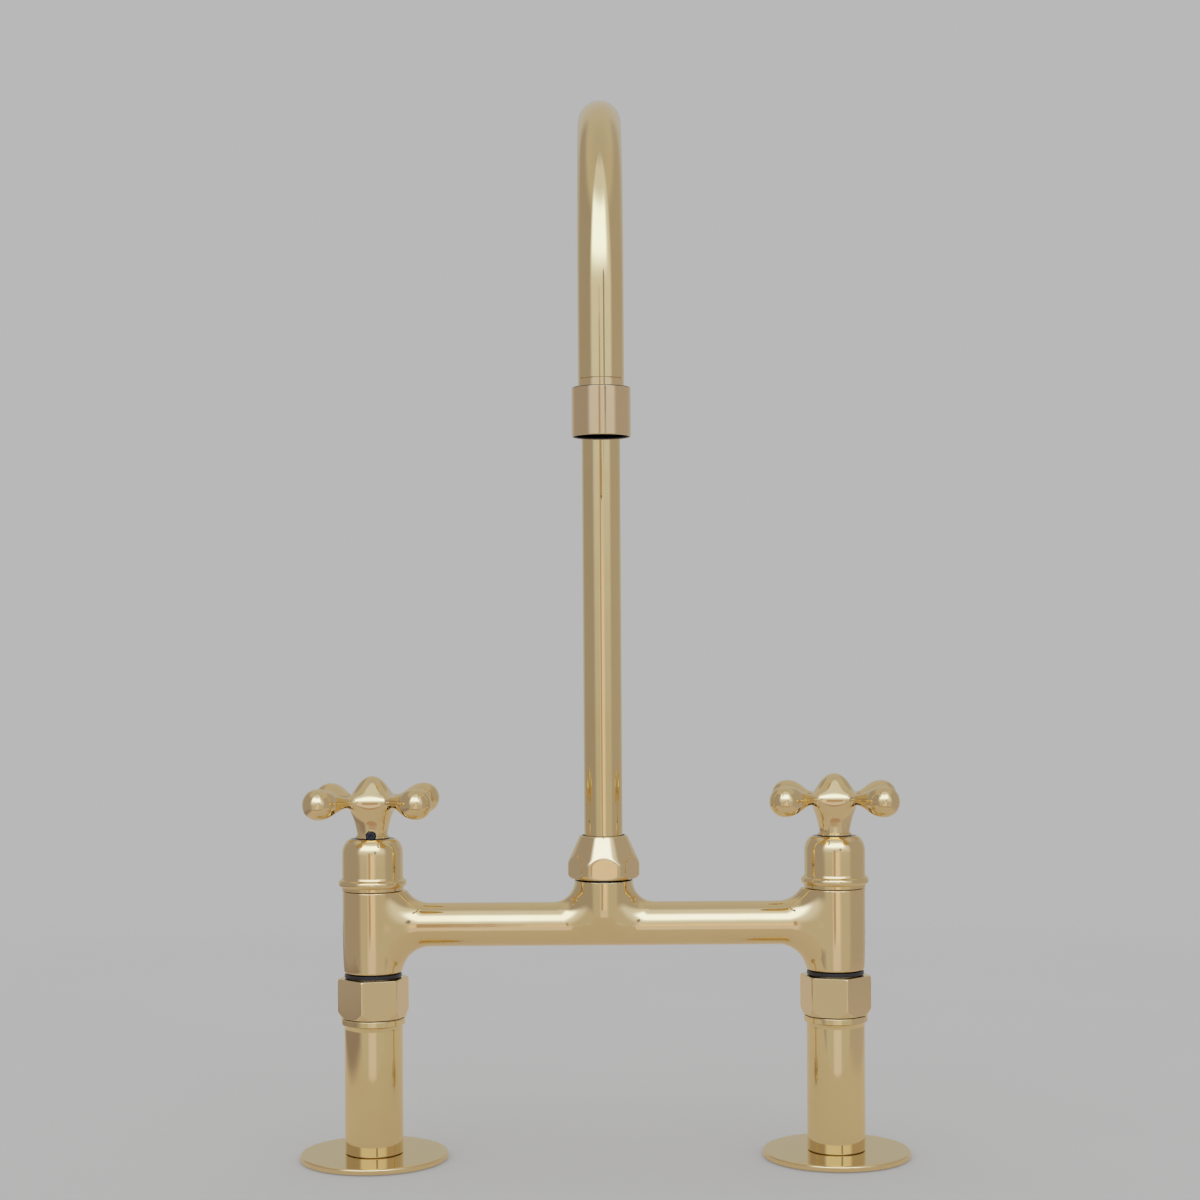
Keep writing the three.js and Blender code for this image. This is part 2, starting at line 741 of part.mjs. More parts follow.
function endRing() {
  const [body, bore, plug] = [tubeDiameter / 2, endRingBore / 2, tubeBore / 2 - slip];
  return turned([
    [bore, endRingFoot],
    [body, endRingFoot],
    [body, bandTop],
    [plug, bandTop],
    [plug, tubeEnd + stemPlug / 2],
    [bore, tubeEnd + stemPlug / 2],
  ], smallSides);
}

function aeratorHousing() {
  const [body, bore, mouth] = [housingDiameter / 2, housingBore / 2, mouthDiameter / 2];
  return turned([
    [body, housingBase],
    [body, housingTop - housingRound],
    [body - housingRound, housingTop],
    [bore, housingTop],
    [bore, mouthRoof],
    [mouth, mouthRoof],
    [mouth, housingBase],
  ]);
}

const aeratorRing = () =>
  pipe(aeratorFit, endRingBore, aeratorWasherBase, aeratorWasherBase + aeratorWasher, smallSides);

// A cup with its roof up and a ring of small holes in the roof.
function aeratorInsert() {
  const [wall, top] = [aeratorFit / 2, insertBase + insertHeight];
  const bore = wall - insertWall;
  const cup = turned([
    [bore, insertBase],
    [wall, insertBase],
    [wall, top],
    [0, top],
    [0, top - insertWall],
    [bore, top - insertWall],
  ], smallSides);
  const holes = Array.from({ length: insertHoles }, (_, i) =>
    rod(insertHole, top - 2 * insertWall, top + seam, ringSides)
      .translate(bore - insertHole, 0, 0)
      .rotateZ((i / insertHoles) * 2 * Math.PI));
  return cut(cup, ...holes);
}

function aeratorScreen() {
  const plate = rod(mouthDiameter - 2 * slip, screenBase, screenBase + screenThickness);
  const holes = [];
  const reach = mouthDiameter / 2 - screenHole;
  const rows = Math.floor(reach / screenPitch);
  for (let i = -rows; i <= rows; i++) {
    for (let j = -rows; j <= rows; j++) {
      const [x, y] = [i * screenPitch, j * screenPitch];
      if (Math.hypot(x, y) > reach) continue;
      const hole = new THREE.BoxGeometry(screenHole, screenHole, screenThickness + 2 * seam);
      holes.push(hole.translate(x, y, screenBase + screenThickness / 2));
    }
  }
  return cut(plate, ...holes);
}

// ---- assembly ----

function inlet(side, x) {
  const group = new THREE.Group();
  group.position.x = x;
  group.add(
    piece(`${side}_deck_flange`, polishedBrass, deckFlange()),
    piece(`${side}_post`, polishedBrass, post()),
    piece(`${side}_union_tail`, machinedBrass, unionTail()),
    piece(`${side}_union_nut`, polishedBrass, unionNut(nutAngles[side])),
    piece(`${side}_union_washer`, blackRubber, unionWasherRing()),
    piece(`${side}_nut_seal_ring`, blackRubber, nutSealRing()),
    piece(`${side}_bonnet`, polishedBrass, bonnet()),
    piece(`${side}_cartridge_body`, machinedBrass, cartridgeBody()),
    piece(`${side}_seat_seal`, blackRubber, seatSealRing()),
    piece(`${side}_fixed_disc`, ceramic, valveDisc(sleeveBase, fixedDisc, 0)),
  );
  return group;
}

// What turns together on the valve's axis. Closed, the moving disc's ports stand across the fixed
// disc's ports.
function handleSet(side, x) {
  const group = new THREE.Group();
  group.position.x = x;
  group.rotation.z = THREE.MathUtils.degToRad(restAngles[side]);
  group.add(
    piece(`${side}_cross_handle`, polishedBrass, crossHandle()),
    piece(`${side}_grub_screw`, steel, grubScrew()),
    piece(`${side}_spindle`, machinedBrass, spindle()),
    piece(`${side}_moving_disc`, ceramic, valveDisc(movingDiscBase, movingDisc, Math.PI / 2)),
    piece(`${side}_stem_o_ring`, blackRubber, stemORing()),
    piece(`${side}_retaining_clip`, steel, retainingClip()),
  );
  return group;
}

function centre() {
  const group = new THREE.Group();
  const bridge = piece("bridge_body", polishedBrass, bridgeBody());
  bridge.position.z = bridgeAxis;
  const nut = piece("spout_nut", polishedBrass, spoutNut());
  nut.position.z = spoutNutBase;
  group.add(
    bridge,
    nut,
    piece("spout_thrust_washer", whitePlastic, thrustRing()),
    piece("spout_bush", darkNylon, swivelBush()),
  );
  return group;
}

function spout() {
  const group = new THREE.Group();
  group.add(
    piece("spout_tube", polishedBrass, spoutTube()),
    piece("spout_stem", machinedBrass, spoutStem()),
    ...ringHeights.map((height, i) =>
      piece(`spout_o_ring_${["lower", "upper"][i]}`, blackRubber, spoutORing(height))),
  );
  const aerator = new THREE.Group();
  aerator.position.y = -spoutReach;
  aerator.add(
    piece("spout_end_ring", polishedBrass, endRing()),
    piece("aerator_housing", polishedBrass, aeratorHousing()),
    piece("aerator_washer", blackRubber, aeratorRing()),
    piece("aerator_insert", darkNylon, aeratorInsert()),
    piece("aerator_screen", steel, aeratorScreen()),
  );
  group.add(aerator);
  return group;
}

// The origin is on the deck, under the middle of the faucet's outline.
const front = spoutReach + housingDiameter / 2;
const back = flangeDiameter / 2;
const faucet = new THREE.Group();
faucet.position.y = (front - back) / 2;
faucet.add(
  inlet("left", -postCentres / 2),
  inlet("right", postCentres / 2),
  handleSet("left", -postCentres / 2),
  handleSet("right", postCentres / 2),
  centre(),
  spout(),
);

export default faucet;
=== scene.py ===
import json
import math

import bpy
import numpy as np
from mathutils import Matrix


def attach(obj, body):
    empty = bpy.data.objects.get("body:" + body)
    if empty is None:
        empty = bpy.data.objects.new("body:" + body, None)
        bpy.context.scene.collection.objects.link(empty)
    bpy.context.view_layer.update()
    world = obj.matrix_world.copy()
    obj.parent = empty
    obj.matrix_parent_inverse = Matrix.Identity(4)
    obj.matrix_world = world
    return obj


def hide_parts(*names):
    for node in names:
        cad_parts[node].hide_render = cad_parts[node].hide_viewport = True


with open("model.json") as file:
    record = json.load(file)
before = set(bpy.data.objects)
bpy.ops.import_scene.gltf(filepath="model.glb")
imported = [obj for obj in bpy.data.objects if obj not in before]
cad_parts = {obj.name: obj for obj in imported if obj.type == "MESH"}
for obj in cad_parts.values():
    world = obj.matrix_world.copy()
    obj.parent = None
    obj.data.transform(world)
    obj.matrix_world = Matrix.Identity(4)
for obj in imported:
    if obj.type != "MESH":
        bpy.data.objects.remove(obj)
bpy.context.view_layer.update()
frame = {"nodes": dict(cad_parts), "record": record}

print("faucet: frame loaded,", len(frame["nodes"]), "CAD nodes")

# Shapes are drawn in millimetres round each piece's own axis, then placed in the row frame in metres.
layout = {"postLine": 67.95, "postX": 101.6, "outletY": -89.55, "bridgeAxis": 102.3, "armAxis": 156.7}
roundness = {"sides": 192, "smallSides": 96, "nutSides": 288, "cornerSteps": 5, "filletShare": 0.49,
             "bridgeCell": 0.6, "handleCell": 0.42, "settleSteps": 5, "longestStep": 0.5, "leastSlope": 0.05}
tiny, small = 1e-9, 1e-6  # they keep divisions finite


# ---- building meshes ----

def addPiece(name, skin, finish, body, slotName, replaced, at, turn=0.0):
    # A skin is points, faces and normals: one normal for each point, or one for each corner of each face.
    points, faces, normals = skin
    c, s = math.cos(turn), math.sin(turn)
    spin = np.array([[c, -s, 0], [s, c, 0], [0, 0, 1]])
    mesh = bpy.data.meshes.new(name)
    mesh.from_pydata(((points @ spin.T + np.array(at)) / 1000).tolist(), [], faces)
    mesh.shade_smooth()
    turned = (normals @ spin.T).tolist()
    if len(turned) == len(points):
        mesh.normals_split_custom_set_from_vertices(turned)
    else:
        mesh.normals_split_custom_set(turned)
    mesh.materials.append(finish)
    piece = bpy.data.objects.new(name, mesh)
    bpy.context.scene.collection.objects.link(piece)
    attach(piece, body)
    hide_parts(*replaced)
    return piece


def roundedOutline(corners):
    # Corners are (radius, height, fillet), up the outside and down the inside. A fillet of None lets a curve
    # through. Gives stretches: where each starts, and the normals at its start and its end.
    steps, share = roundness["cornerSteps"], roundness["filletShare"]
    spots = np.array([c[:2] for c in corners], float)
    count = len(spots)
    ways = [spots[(i + 1) % count] - spots[i] for i in range(count)]
    lengths = [np.linalg.norm(w) for w in ways]
    ways = [w / n for w, n in zip(ways, lengths)]
    normals = [np.array([w[1], -w[0]]) for w in ways]
    starts, startNormals, endNormals, arcs = list(spots), list(normals), list(normals), {}
    for i in range(count):
        before, fillet = (i - 1) % count, corners[i][2]
        if fillet is None:
            mean = normals[before] / lengths[before] + normals[i] / lengths[i]
            endNormals[before] = startNormals[i] = mean / np.linalg.norm(mean)
        elif fillet > 0:
            bend = math.acos(max(-1.0, min(1.0, float(ways[before] @ ways[i]))))
            back = min(fillet * math.tan(bend / 2), share * lengths[before], share * lengths[i])
            first = spots[i] - ways[before] * back
            starts[i] = spots[i] + ways[i] * back
            side = np.sign(ways[before][0] * ways[i][1] - ways[before][1] * ways[i][0])
            radius = back / math.tan(bend / 2)
            centre = first - normals[before] * radius * side
            arcs[i] = []
            for k in range(steps + 1):
                angle = side * bend * k / steps
                c, s = math.cos(angle), math.sin(angle)
                n = np.array([normals[before][0] * c - normals[before][1] * s,
                              normals[before][0] * s + normals[before][1] * c])
                arcs[i].append((centre + n * radius * side, n))
    stretches = []
    for i in range(count):
        stretches.append((starts[i], startNormals[i], endNormals[i]))
        arc = arcs.get((i + 1) % count, [])
        stretches += [(a[0], a[1], b[1]) for a, b in zip(arc, arc[1:])]
    return stretches


def meshSkin(rings, lowNormals, highNormals, closed):
    # Rings of points up the outside and down the inside, with the normals at both ends of each stretch.
    count, sides = rings.shape[:2]
    points, index = [], []
    for ring in rings:
        if np.ptp(ring, axis=0).max() < tiny:  # a pole
            index.append(np.full(sides, len(points)))
            points.append(ring[0])
        else:
            index.append(len(points) + np.arange(sides))
            points.extend(ring)
    faces, normals = [], []
    for j in range(count if closed else count - 1):
        low, high = index[j], index[(j + 1) % count]
        corners = [(low, lowNormals[j], 0), (low, lowNormals[j], 1),
                   (high, highNormals[j], 1), (high, highNormals[j], 0)]
        if low[0] == low[1]:
            corners = corners[1:]
        elif high[0] == high[1]:
            corners = corners[:3]
        ids = np.stack([np.roll(i, -step) for i, _, step in corners], axis=1)
        slopes = np.stack([np.roll(n, -step, axis=0) for _, n, step in corners], axis=1)
        faces += ids.tolist()
        normals.append(slopes.reshape(-1, 3))
    return np.array(points), faces, np.concatenate(normals)


def circle(count):
    return np.arange(count) * 2 * math.pi / count


def levelRing(angles, radius, height):
    return np.stack([radius * np.cos(angles), radius * np.sin(angles), np.full_like(angles, height)], axis=1)


def turnedSkin(corners):
    angles = circle(roundness["sides"])
    columns = zip(*roundedOutline(corners))
    rings, low, high = ([levelRing(angles, *pair) for pair in column] for column in columns)
    return meshSkin(np.array(rings), low, high, True)


def gradedSkin(rings, breaks, closed=True):
    # Normals from the rings' own slopes. They don't carry over the rings in breaks.
    count = len(rings)
    around = np.roll(rings, -1, axis=1) - np.roll(rings, 1, axis=1)
    along = [rings[(j + 1) % count] - rings[j] for j in range(count)]
    units = [a / np.maximum(np.linalg.norm(a, axis=1, keepdims=True) ** 2, tiny) for a in along]

    def normalAt(j, slope):
        n = np.cross(around[j], slope)
        return n / np.maximum(np.linalg.norm(n, axis=1, keepdims=True), tiny)

    low, high = [], []
    for j in range(count):
        nxt = (j + 1) % count
        low.append(normalAt(j, units[j] if j in breaks else units[j] + units[j - 1]))
        high.append(normalAt(nxt, units[j] if nxt in breaks else units[j] + units[nxt]))
    return meshSkin(rings, low, high, closed)


def softMin(*shapes, power=110):
    return np.sum([np.asarray(s, float) ** -power for s in shapes], axis=0) ** (-1 / power)


def hexagon(angles, flats, power=110):
    # Radius of a hexagon with one flat facing forward and slightly worn corners.
    reach = np.zeros_like(angles)
    for k in range(6):
        reach += np.maximum(np.cos(angles + math.pi / 2 - k * math.pi / 3), 0) ** power
    return flats / 2 / reach ** (1 / power)


# ---- cast shapes: a surface where a field is nought, negative inside ----

def castSkin(field, low, high, cell):
    axes = [np.arange(a, b + cell, cell) for a, b in zip(low, high)]
    shape = tuple(len(a) for a in axes)
    values = np.empty(shape)
    for i, x in enumerate(axes[0]):
        y, z = np.meshgrid(axes[1], axes[2], indexing="ij")
        values[i] = field(np.full_like(y, x), y, z)
    inside = values < 0
    corner = lambda a, i, j, k: a[i:shape[0] - 1 + i, j:shape[1] - 1 + j, k:shape[2] - 1 + k]
    offsets = [(i, j, k) for i in (0, 1) for j in (0, 1) for k in (0, 1)]
    filled = sum(corner(inside, *o).astype(np.int8) for o in offsets)
    mixed = np.argwhere((filled > 0) & (filled < 8))
    number = np.full(tuple(n - 1 for n in shape), -1)
    number[tuple(mixed.T)] = np.arange(len(mixed))
    total, hits = np.zeros((len(mixed), 3)), np.zeros(len(mixed))
    for axis in range(3):
        for o in offsets:
            if o[axis]:
                continue
            a = mixed + np.array(o)
            b = a.copy()
            b[:, axis] += 1
            va, vb = values[tuple(a.T)], values[tuple(b.T)]
            cut = (va < 0) != (vb < 0)
            part = np.where(cut, va / np.where(cut, va - vb, 1), 0)
            spot = a.astype(float)
            spot[:, axis] += part
            total += spot * cut[:, None]
            hits += cut
    points = np.array(low) + total / hits[:, None] * cell
    faces = []
    for axis in range(3):
        u, v = (axis + 1) % 3, (axis + 2) % 3
        a = [slice(None)] * 3
        b = [slice(None)] * 3
        a[axis], b[axis] = slice(0, shape[axis] - 1), slice(1, shape[axis])
        change = inside[tuple(a)] != inside[tuple(b)]
        edges = np.argwhere(change)
        within = [(edges[:, d] > 0) & (edges[:, d] < shape[d] - 1) for d in (u, v)]
        edges = edges[within[0] & within[1]]
        out = inside[tuple(a)][tuple(edges.T)]
        quad = []
        for du, dv in ((1, 1), (0, 1), (0, 0), (1, 0)):
            q = edges.copy()
            q[:, u] -= du
            q[:, v] -= dv
            quad.append(number[tuple(q.T)])
        quad = np.stack(quad, axis=1)
        quad[~out] = quad[~out][:, ::-1]
        faces.append(quad)
    for _ in range(roundness["settleSteps"]):
        gradient = fieldSlope(field, points)
        steepness = np.maximum((gradient ** 2).sum(1, keepdims=True), roundness["leastSlope"])
        step = field(*points.T)[:, None] * gradient / steepness
        size = np.linalg.norm(step, axis=1, keepdims=True)
        points -= step * np.minimum(1, roundness["longestStep"] * cell / np.maximum(size, tiny))
    gradient = fieldSlope(field, points)
    return points, np.concatenate(faces).tolist(), gradient / np.linalg.norm(gradient, axis=1, keepdims=True)


def fieldSlope(field, points, step=0.02):
    columns = []
    for axis in range(3):
        ahead, behind = points.copy(), points.copy()
        ahead[:, axis] += step
        behind[:, axis] -= step
        columns.append((field(*ahead.T) - field(*behind.T)) / (2 * step))
    return np.stack(columns, axis=1)


def roundJoin(a, b, radius):
    u, v = np.maximum(radius - a, 0), np.maximum(radius - b, 0)
    return np.maximum(radius, np.minimum(a, b)) - np.hypot(u, v)


def roundCut(a, b, radius):
    return -roundJoin(-a, -b, radius)


def smoothStep(low, high, value):
    t = np.clip((value - low) / (high - low), 0, 1)
    return t * t * (3 - 2 * t)


def smoothCurve(knots):
    # A natural cubic through (place, value) pairs, straight beyond its ends.
    x, y = np.array(knots, float).T
    n, h = len(x), np.diff(x)
    rows, right = np.eye(n), np.zeros(n)
    for i in range(1, n - 1):
        rows[i, i - 1:i + 2] = h[i - 1], 2 * (h[i - 1] + h[i]), h[i]
        right[i] = 6 * ((y[i + 1] - y[i]) / h[i] - (y[i] - y[i - 1]) / h[i - 1])
    bend = np.linalg.solve(rows, right)

    def curve(place):
        i = np.clip(np.searchsorted(x, place) - 1, 0, n - 2)
        t = np.clip(place, x[0], x[-1]) - x[i]
        slope = (y[i + 1] - y[i]) / h[i] - h[i] * (2 * bend[i] + bend[i + 1]) / 6
        value = y[i] + t * (slope + t * (bend[i] / 2 + t * (bend[i + 1] - bend[i]) / (6 * h[i])))
        endSlope = (y[-1] - y[-2]) / h[-1] + h[-1] * bend[-2] / 6
        startSlope = (y[1] - y[0]) / h[0] - h[0] * bend[1] / 6
        return value + np.maximum(place - x[-1], 0) * endSlope + np.minimum(place - x[0], 0) * startSlope

    return curve


# ---- materials ----

def makeGroup(name, inputs, outputs):
    group = bpy.data.node_groups.new(name, "ShaderNodeTree")
    for label, kind, value in inputs:
        socket = group.interface.new_socket(name=label, in_out="INPUT", socket_type=kind)
        socket.default_value = value
    for label, kind in outputs:
        group.interface.new_socket(name=label, in_out="OUTPUT", socket_type=kind)
    return group, group.nodes.new("NodeGroupInput"), group.nodes.new("NodeGroupOutput")


def addNode(tree, kind, settings=(), **inputs):
    node = tree.nodes.new(kind)
    for key, value in dict(settings).items():
        setattr(node, key, value)
    for label, value in inputs.items():
        socket = node.inputs[int(label[1:])] if label[0] == "i" and label[1:].isdigit() else node.inputs[label]
        if isinstance(value, bpy.types.NodeSocket):
            tree.links.new(value, socket)
        else:
            socket.default_value = value
    return node


def maths(tree, operation, a, b=0.0, c=0.0, clamp=False):
    settings = {"operation": operation, "use_clamp": clamp}
    return addNode(tree, "ShaderNodeMath", settings, i0=a, i1=b, i2=c).outputs[0]


def mixColour(tree, part, a, b):
    node = addNode(tree, "ShaderNodeMix", {"data_type": "RGBA"}, i0=part, i6=a, i7=b)
    return node.outputs[2]


def rampBetween(tree, value, low, high):
    node = addNode(tree, "ShaderNodeMapRange", {"interpolation_type": "SMOOTHSTEP"}, Value=value)
    node.inputs["From Min"].default_value = low
    node.inputs["From Max"].default_value = high
    return node.outputs["Result"]


def objectPlace(tree):
    return addNode(tree, "ShaderNodeTexCoord").outputs["Object"]


tarnishValues = {"cloudLow": 0.38, "cloudHigh": 0.72, "cloudDetail": 4.0, "cloudRoughness": 0.6,
                 "spotEdge": 14.0, "spotColour": (0.055, 0.03, 0.012, 1), "patchDull": 0.25}


def makeTarnish(t):
    # Bare brass that has begun to tone: cloudy patches, and a few small dark spots.
    group, start, end = makeGroup("tarnish", [
        ("Clean", "NodeSocketColor", (0.9, 0.7, 0.4, 1)),
        ("Toned", "NodeSocketColor", (0.8, 0.6, 0.3, 1)),
        ("Patch Scale", "NodeSocketFloat", 30.0),
        ("Patch Amount", "NodeSocketFloat", 0.5),
        ("Spot Scale", "NodeSocketFloat", 160.0),
        ("Spot Share", "NodeSocketFloat", 0.02),
        ("Spot Size", "NodeSocketFloat", 0.12),
    ], [("Color", "NodeSocketColor"), ("Dull", "NodeSocketFloat")])
    place = objectPlace(group)
    cloud = addNode(group, "ShaderNodeTexNoise", Vector=place, Scale=start.outputs["Patch Scale"],
                    Detail=t["cloudDetail"], Roughness=t["cloudRoughness"])
    cloudy = rampBetween(group, cloud.outputs[0], t["cloudLow"], t["cloudHigh"])
    patches = maths(group, "MULTIPLY", cloudy, start.outputs["Patch Amount"])
    cells = addNode(group, "ShaderNodeTexVoronoi", Vector=place, Scale=start.outputs["Spot Scale"])
    chance = addNode(group, "ShaderNodeSeparateColor", Color=cells.outputs["Color"]).outputs[0]
    chosen = maths(group, "LESS_THAN", chance, start.outputs["Spot Share"])
    near = maths(group, "SUBTRACT", start.outputs["Spot Size"], cells.outputs["Distance"])
    spots = maths(group, "MULTIPLY", maths(group, "MULTIPLY", near, t["spotEdge"], clamp=True), chosen)
    toned = mixColour(group, patches, start.outputs["Clean"], start.outputs["Toned"])
    spotted = mixColour(group, spots, toned, t["spotColour"])
    dull = maths(group, "ADD", maths(group, "MULTIPLY", patches, t["patchDull"]), spots, clamp=True)
    group.links.new(spotted, end.inputs["Color"])
    group.links.new(dull, end.inputs["Dull"])
    return group


polishValues = {"hairTurn": (0.4, 0.9, 0.3), "hairStretch": (1.0, 0.06, 1.0), "scuffLow": 0.55, "scuffHigh": 0.8}


def makePolish(p):
    # Faint waves and hairlines that a polishing wheel leaves.
    group, start, end = makeGroup("polish", [
        ("Wave Scale", "NodeSocketFloat", 60.0),
        ("Wave Height", "NodeSocketFloat", 1.0),
        ("Hair Scale", "NodeSocketFloat", 700.0),
        ("Hair Height", "NodeSocketFloat", 0.1),
    ], [("Height", "NodeSocketFloat"), ("Scuff", "NodeSocketFloat")])
    place = objectPlace(group)
    waves = addNode(group, "ShaderNodeTexNoise", Vector=place, Scale=start.outputs["Wave Scale"], Detail=1.0)
    stretched = addNode(group, "ShaderNodeMapping", Vector=place, Rotation=p["hairTurn"], Scale=p["hairStretch"])
    hairs = addNode(group, "ShaderNodeTexNoise", Vector=stretched.outputs[0], Scale=start.outputs["Hair Scale"],
                    Detail=3.0)
    low = maths(group, "MULTIPLY", waves.outputs[0], start.outputs["Wave Height"])
    fine = maths(group, "MULTIPLY", hairs.outputs[0], start.outputs["Hair Height"])
    group.links.new(maths(group, "ADD", low, fine), end.inputs["Height"])
    group.links.new(rampBetween(group, hairs.outputs[0], p["scuffLow"], p["scuffHigh"]), end.inputs["Scuff"])
    return group


markValues = {"bandScale": 90.0, "bandLow": 0.4, "bandHigh": 0.7}


def makeTurningMarks(m):
    # Fine rings round an upright axis, stronger in some bands than in others.
    group, start, end = makeGroup("turningMarks", [
        ("Rings", "NodeSocketFloat", 900.0),
        ("Depth", "NodeSocketFloat", 0.3),
    ], [("Height", "NodeSocketFloat")])
    place = objectPlace(group)
    height = addNode(group, "ShaderNodeSeparateXYZ", Vector=place).outputs["Z"]
    level = addNode(group, "ShaderNodeCombineXYZ", Z=height).outputs[0]
    rings = addNode(group, "ShaderNodeTexNoise", Vector=level, Scale=start.outputs["Rings"], Detail=2.0)
    bands = addNode(group, "ShaderNodeTexNoise", Vector=place, Scale=m["bandScale"])
    strength = rampBetween(group, bands.outputs[0], m["bandLow"], m["bandHigh"])
    depth = maths(group, "MULTIPLY", strength, start.outputs["Depth"])
    group.links.new(maths(group, "MULTIPLY", rings.outputs[0], depth), end.inputs["Height"])
    return group


jointShadeValues = {"raggedScale": 500.0, "ragged": 0.15}


def makePaintedJointShade(g):
    # Painted shade: near black where two pieces meet and the gap between them lies in shadow, between two heights
    # above the deck in millimetres.
    group, start, end = makeGroup("paintedJointShade", [
        ("Low", "NodeSocketFloat", 0.0), ("High", "NodeSocketFloat", 1.0)], [("Mask", "NodeSocketFloat")])
    place = objectPlace(group)
    height = maths(group, "MULTIPLY", addNode(group, "ShaderNodeSeparateXYZ", Vector=place).outputs["Z"], 1000.0)
    ragged = addNode(group, "ShaderNodeTexNoise", Vector=place, Scale=g["raggedScale"]).outputs[0]
    height = maths(group, "MULTIPLY_ADD", maths(group, "SUBTRACT", ragged, 0.5), g["ragged"], height)
    above = maths(group, "GREATER_THAN", height, start.outputs["Low"])
    below = maths(group, "LESS_THAN", height, start.outputs["High"])
    group.links.new(maths(group, "MULTIPLY", above, below), end.inputs["Mask"])
    return group


tarnish, polish = makeTarnish(tarnishValues), makePolish(polishValues)
turningMarks, paintedJointShade = makeTurningMarks(markValues), makePaintedJointShade(jointShadeValues)


def putGroup(tree, group, **values):
    node = tree.nodes.new("ShaderNodeGroup")
    node.node_tree = group
    for label, value in values.items():
        node.inputs[label].default_value = value
    return node


def newMaterial(name, metallic, roughness):
    material = bpy.data.materials.new(name)
    material.use_nodes = True
    shader = material.node_tree.nodes["Principled BSDF"]
    shader.inputs["Metallic"].default_value = metallic
    shader.inputs["Roughness"].default_value = roughness
    return material, material.node_tree, shader


def makeBrass(name, look):
    material, tree, shader = newMaterial(name, 1.0, look["roughness"])
    tone = putGroup(tree, tarnish, **{
        "Clean": look["clean"], "Toned": look["toned"], "Patch Scale": look["patchScale"],
        "Patch Amount": look["patchAmount"], "Spot Scale": look["spotScale"], "Spot Share": look["spotShare"],
        "Spot Size": look["spotSize"]})
    wheel = putGroup(tree, polish, **{
        "Wave Scale": look["waveScale"], "Wave Height": look["waveHeight"], "Hair Scale": look["hairScale"],
        "Hair Height": look["hairHeight"]})
    height = wheel.outputs["Height"]
    if look["ringDepth"]:
        marks = putGroup(tree, turningMarks, **{"Rings": look["rings"], "Depth": look["ringDepth"]})
        height = maths(tree, "ADD", height, marks.outputs["Height"])
    rough = maths(tree, "MULTIPLY_ADD", wheel.outputs["Scuff"], look["scuff"], look["roughness"])
    rough = maths(tree, "MULTIPLY_ADD", tone.outputs["Dull"], look["dullRoughness"], rough, clamp=True)
    bump = addNode(tree, "ShaderNodeBump", Height=height, Strength=1.0, Distance=look["bump"])
    colour = tone.outputs["Color"]
    # Painted shade: the gaps between pieces, between these heights, are darkened to near black.
    for low, high in look["joints"]:
        jointShade = putGroup(tree, paintedJointShade, **{"Low": low, "High": high}).outputs["Mask"]
        colour = mixColour(tree, jointShade, colour, look["jointShadeColour"])
    tree.links.new(colour, shader.inputs["Base Color"])
    tree.links.new(rough, shader.inputs["Roughness"])
    tree.links.new(bump.outputs[0], shader.inputs["Normal"])
    return material


def makePlain(name, look):
    # Rubber, nylon, plastic, ceramic and steel: two close tones in a cloud, and a grain.
    material, tree, shader = newMaterial(name, look["metallic"], look["roughness"])
    tone = putGroup(tree, tarnish, **{
        "Clean": look["light"], "Toned": look["dark"], "Patch Scale": look["patchScale"], "Patch Amount": 1.0,
        "Spot Scale": 300.0, "Spot Share": 0.0})
    grain = addNode(tree, "ShaderNodeTexNoise", Scale=look["grainScale"], Detail=3.0, Vector=objectPlace(tree))
    bump = addNode(tree, "ShaderNodeBump", Height=grain.outputs[0], Strength=look["grain"], Distance=0.0001)
    rough = maths(tree, "MULTIPLY_ADD", grain.outputs[0], 0.15, look["roughness"], clamp=True)
    tree.links.new(tone.outputs["Color"], shader.inputs["Base Color"])
    tree.links.new(rough, shader.inputs["Roughness"])
    tree.links.new(bump.outputs[0], shader.inputs["Normal"])
    return material


# The joint colour and heights in these looks are painted shade in the gaps under the spout nut, round the handles'
# feet, at the bonnet tops and at the housing's top.
castLook = {
    "clean": (0.915, 0.735, 0.385, 1), "toned": (0.87, 0.66, 0.31, 1), "roughness": 0.045, "scuff": 0.05,
    "patchScale": 28.0, "patchAmount": 0.35, "spotScale": 130.0, "spotShare": 0.012, "spotSize": 0.1,
    "dullRoughness": 0.35, "waveScale": 55.0, "waveHeight": 1.0, "hairScale": 900.0, "hairHeight": 0.015,
    "rings": 900.0, "ringDepth": 0.0, "bump": 0.00012, "jointShadeColour": (0.02, 0.014, 0.01, 1),
    "joints": [(121.55, 122.6), (138.7, 140.75)]}
tubeLook = dict(castLook, waveHeight=0.5, spotShare=0.006, clean=(0.91, 0.745, 0.385, 1), joints=[])
turnedLook = dict(castLook, waveHeight=0.25, rings=1500.0, ringDepth=0.3, roughness=0.07,
                  joints=[(140.35, 140.6)])
nutLook = dict(castLook, clean=(0.915, 0.74, 0.4, 1), toned=(0.88, 0.67, 0.34, 1), waveHeight=0.4,
               joints=[(122.2, 122.5)])
outletLook = dict(nutLook, clean=(0.905, 0.72, 0.415, 1), toned=(0.87, 0.66, 0.36, 1),
                  joints=[(318.0, 318.22)])
machinedLook = dict(castLook, roughness=0.22, rings=1200.0, ringDepth=0.4, waveHeight=0.1, spotShare=0.0)

castBrass = makeBrass("castBrass", castLook)
tubeBrass = makeBrass("tubeBrass", tubeLook)
turnedBrass = makeBrass("turnedBrass", turnedLook)
nutBrass = makeBrass("nutBrass", nutLook)
outletBrass = makeBrass("outletBrass", outletLook)
machinedBrass = makeBrass("machinedBrass", machinedLook)

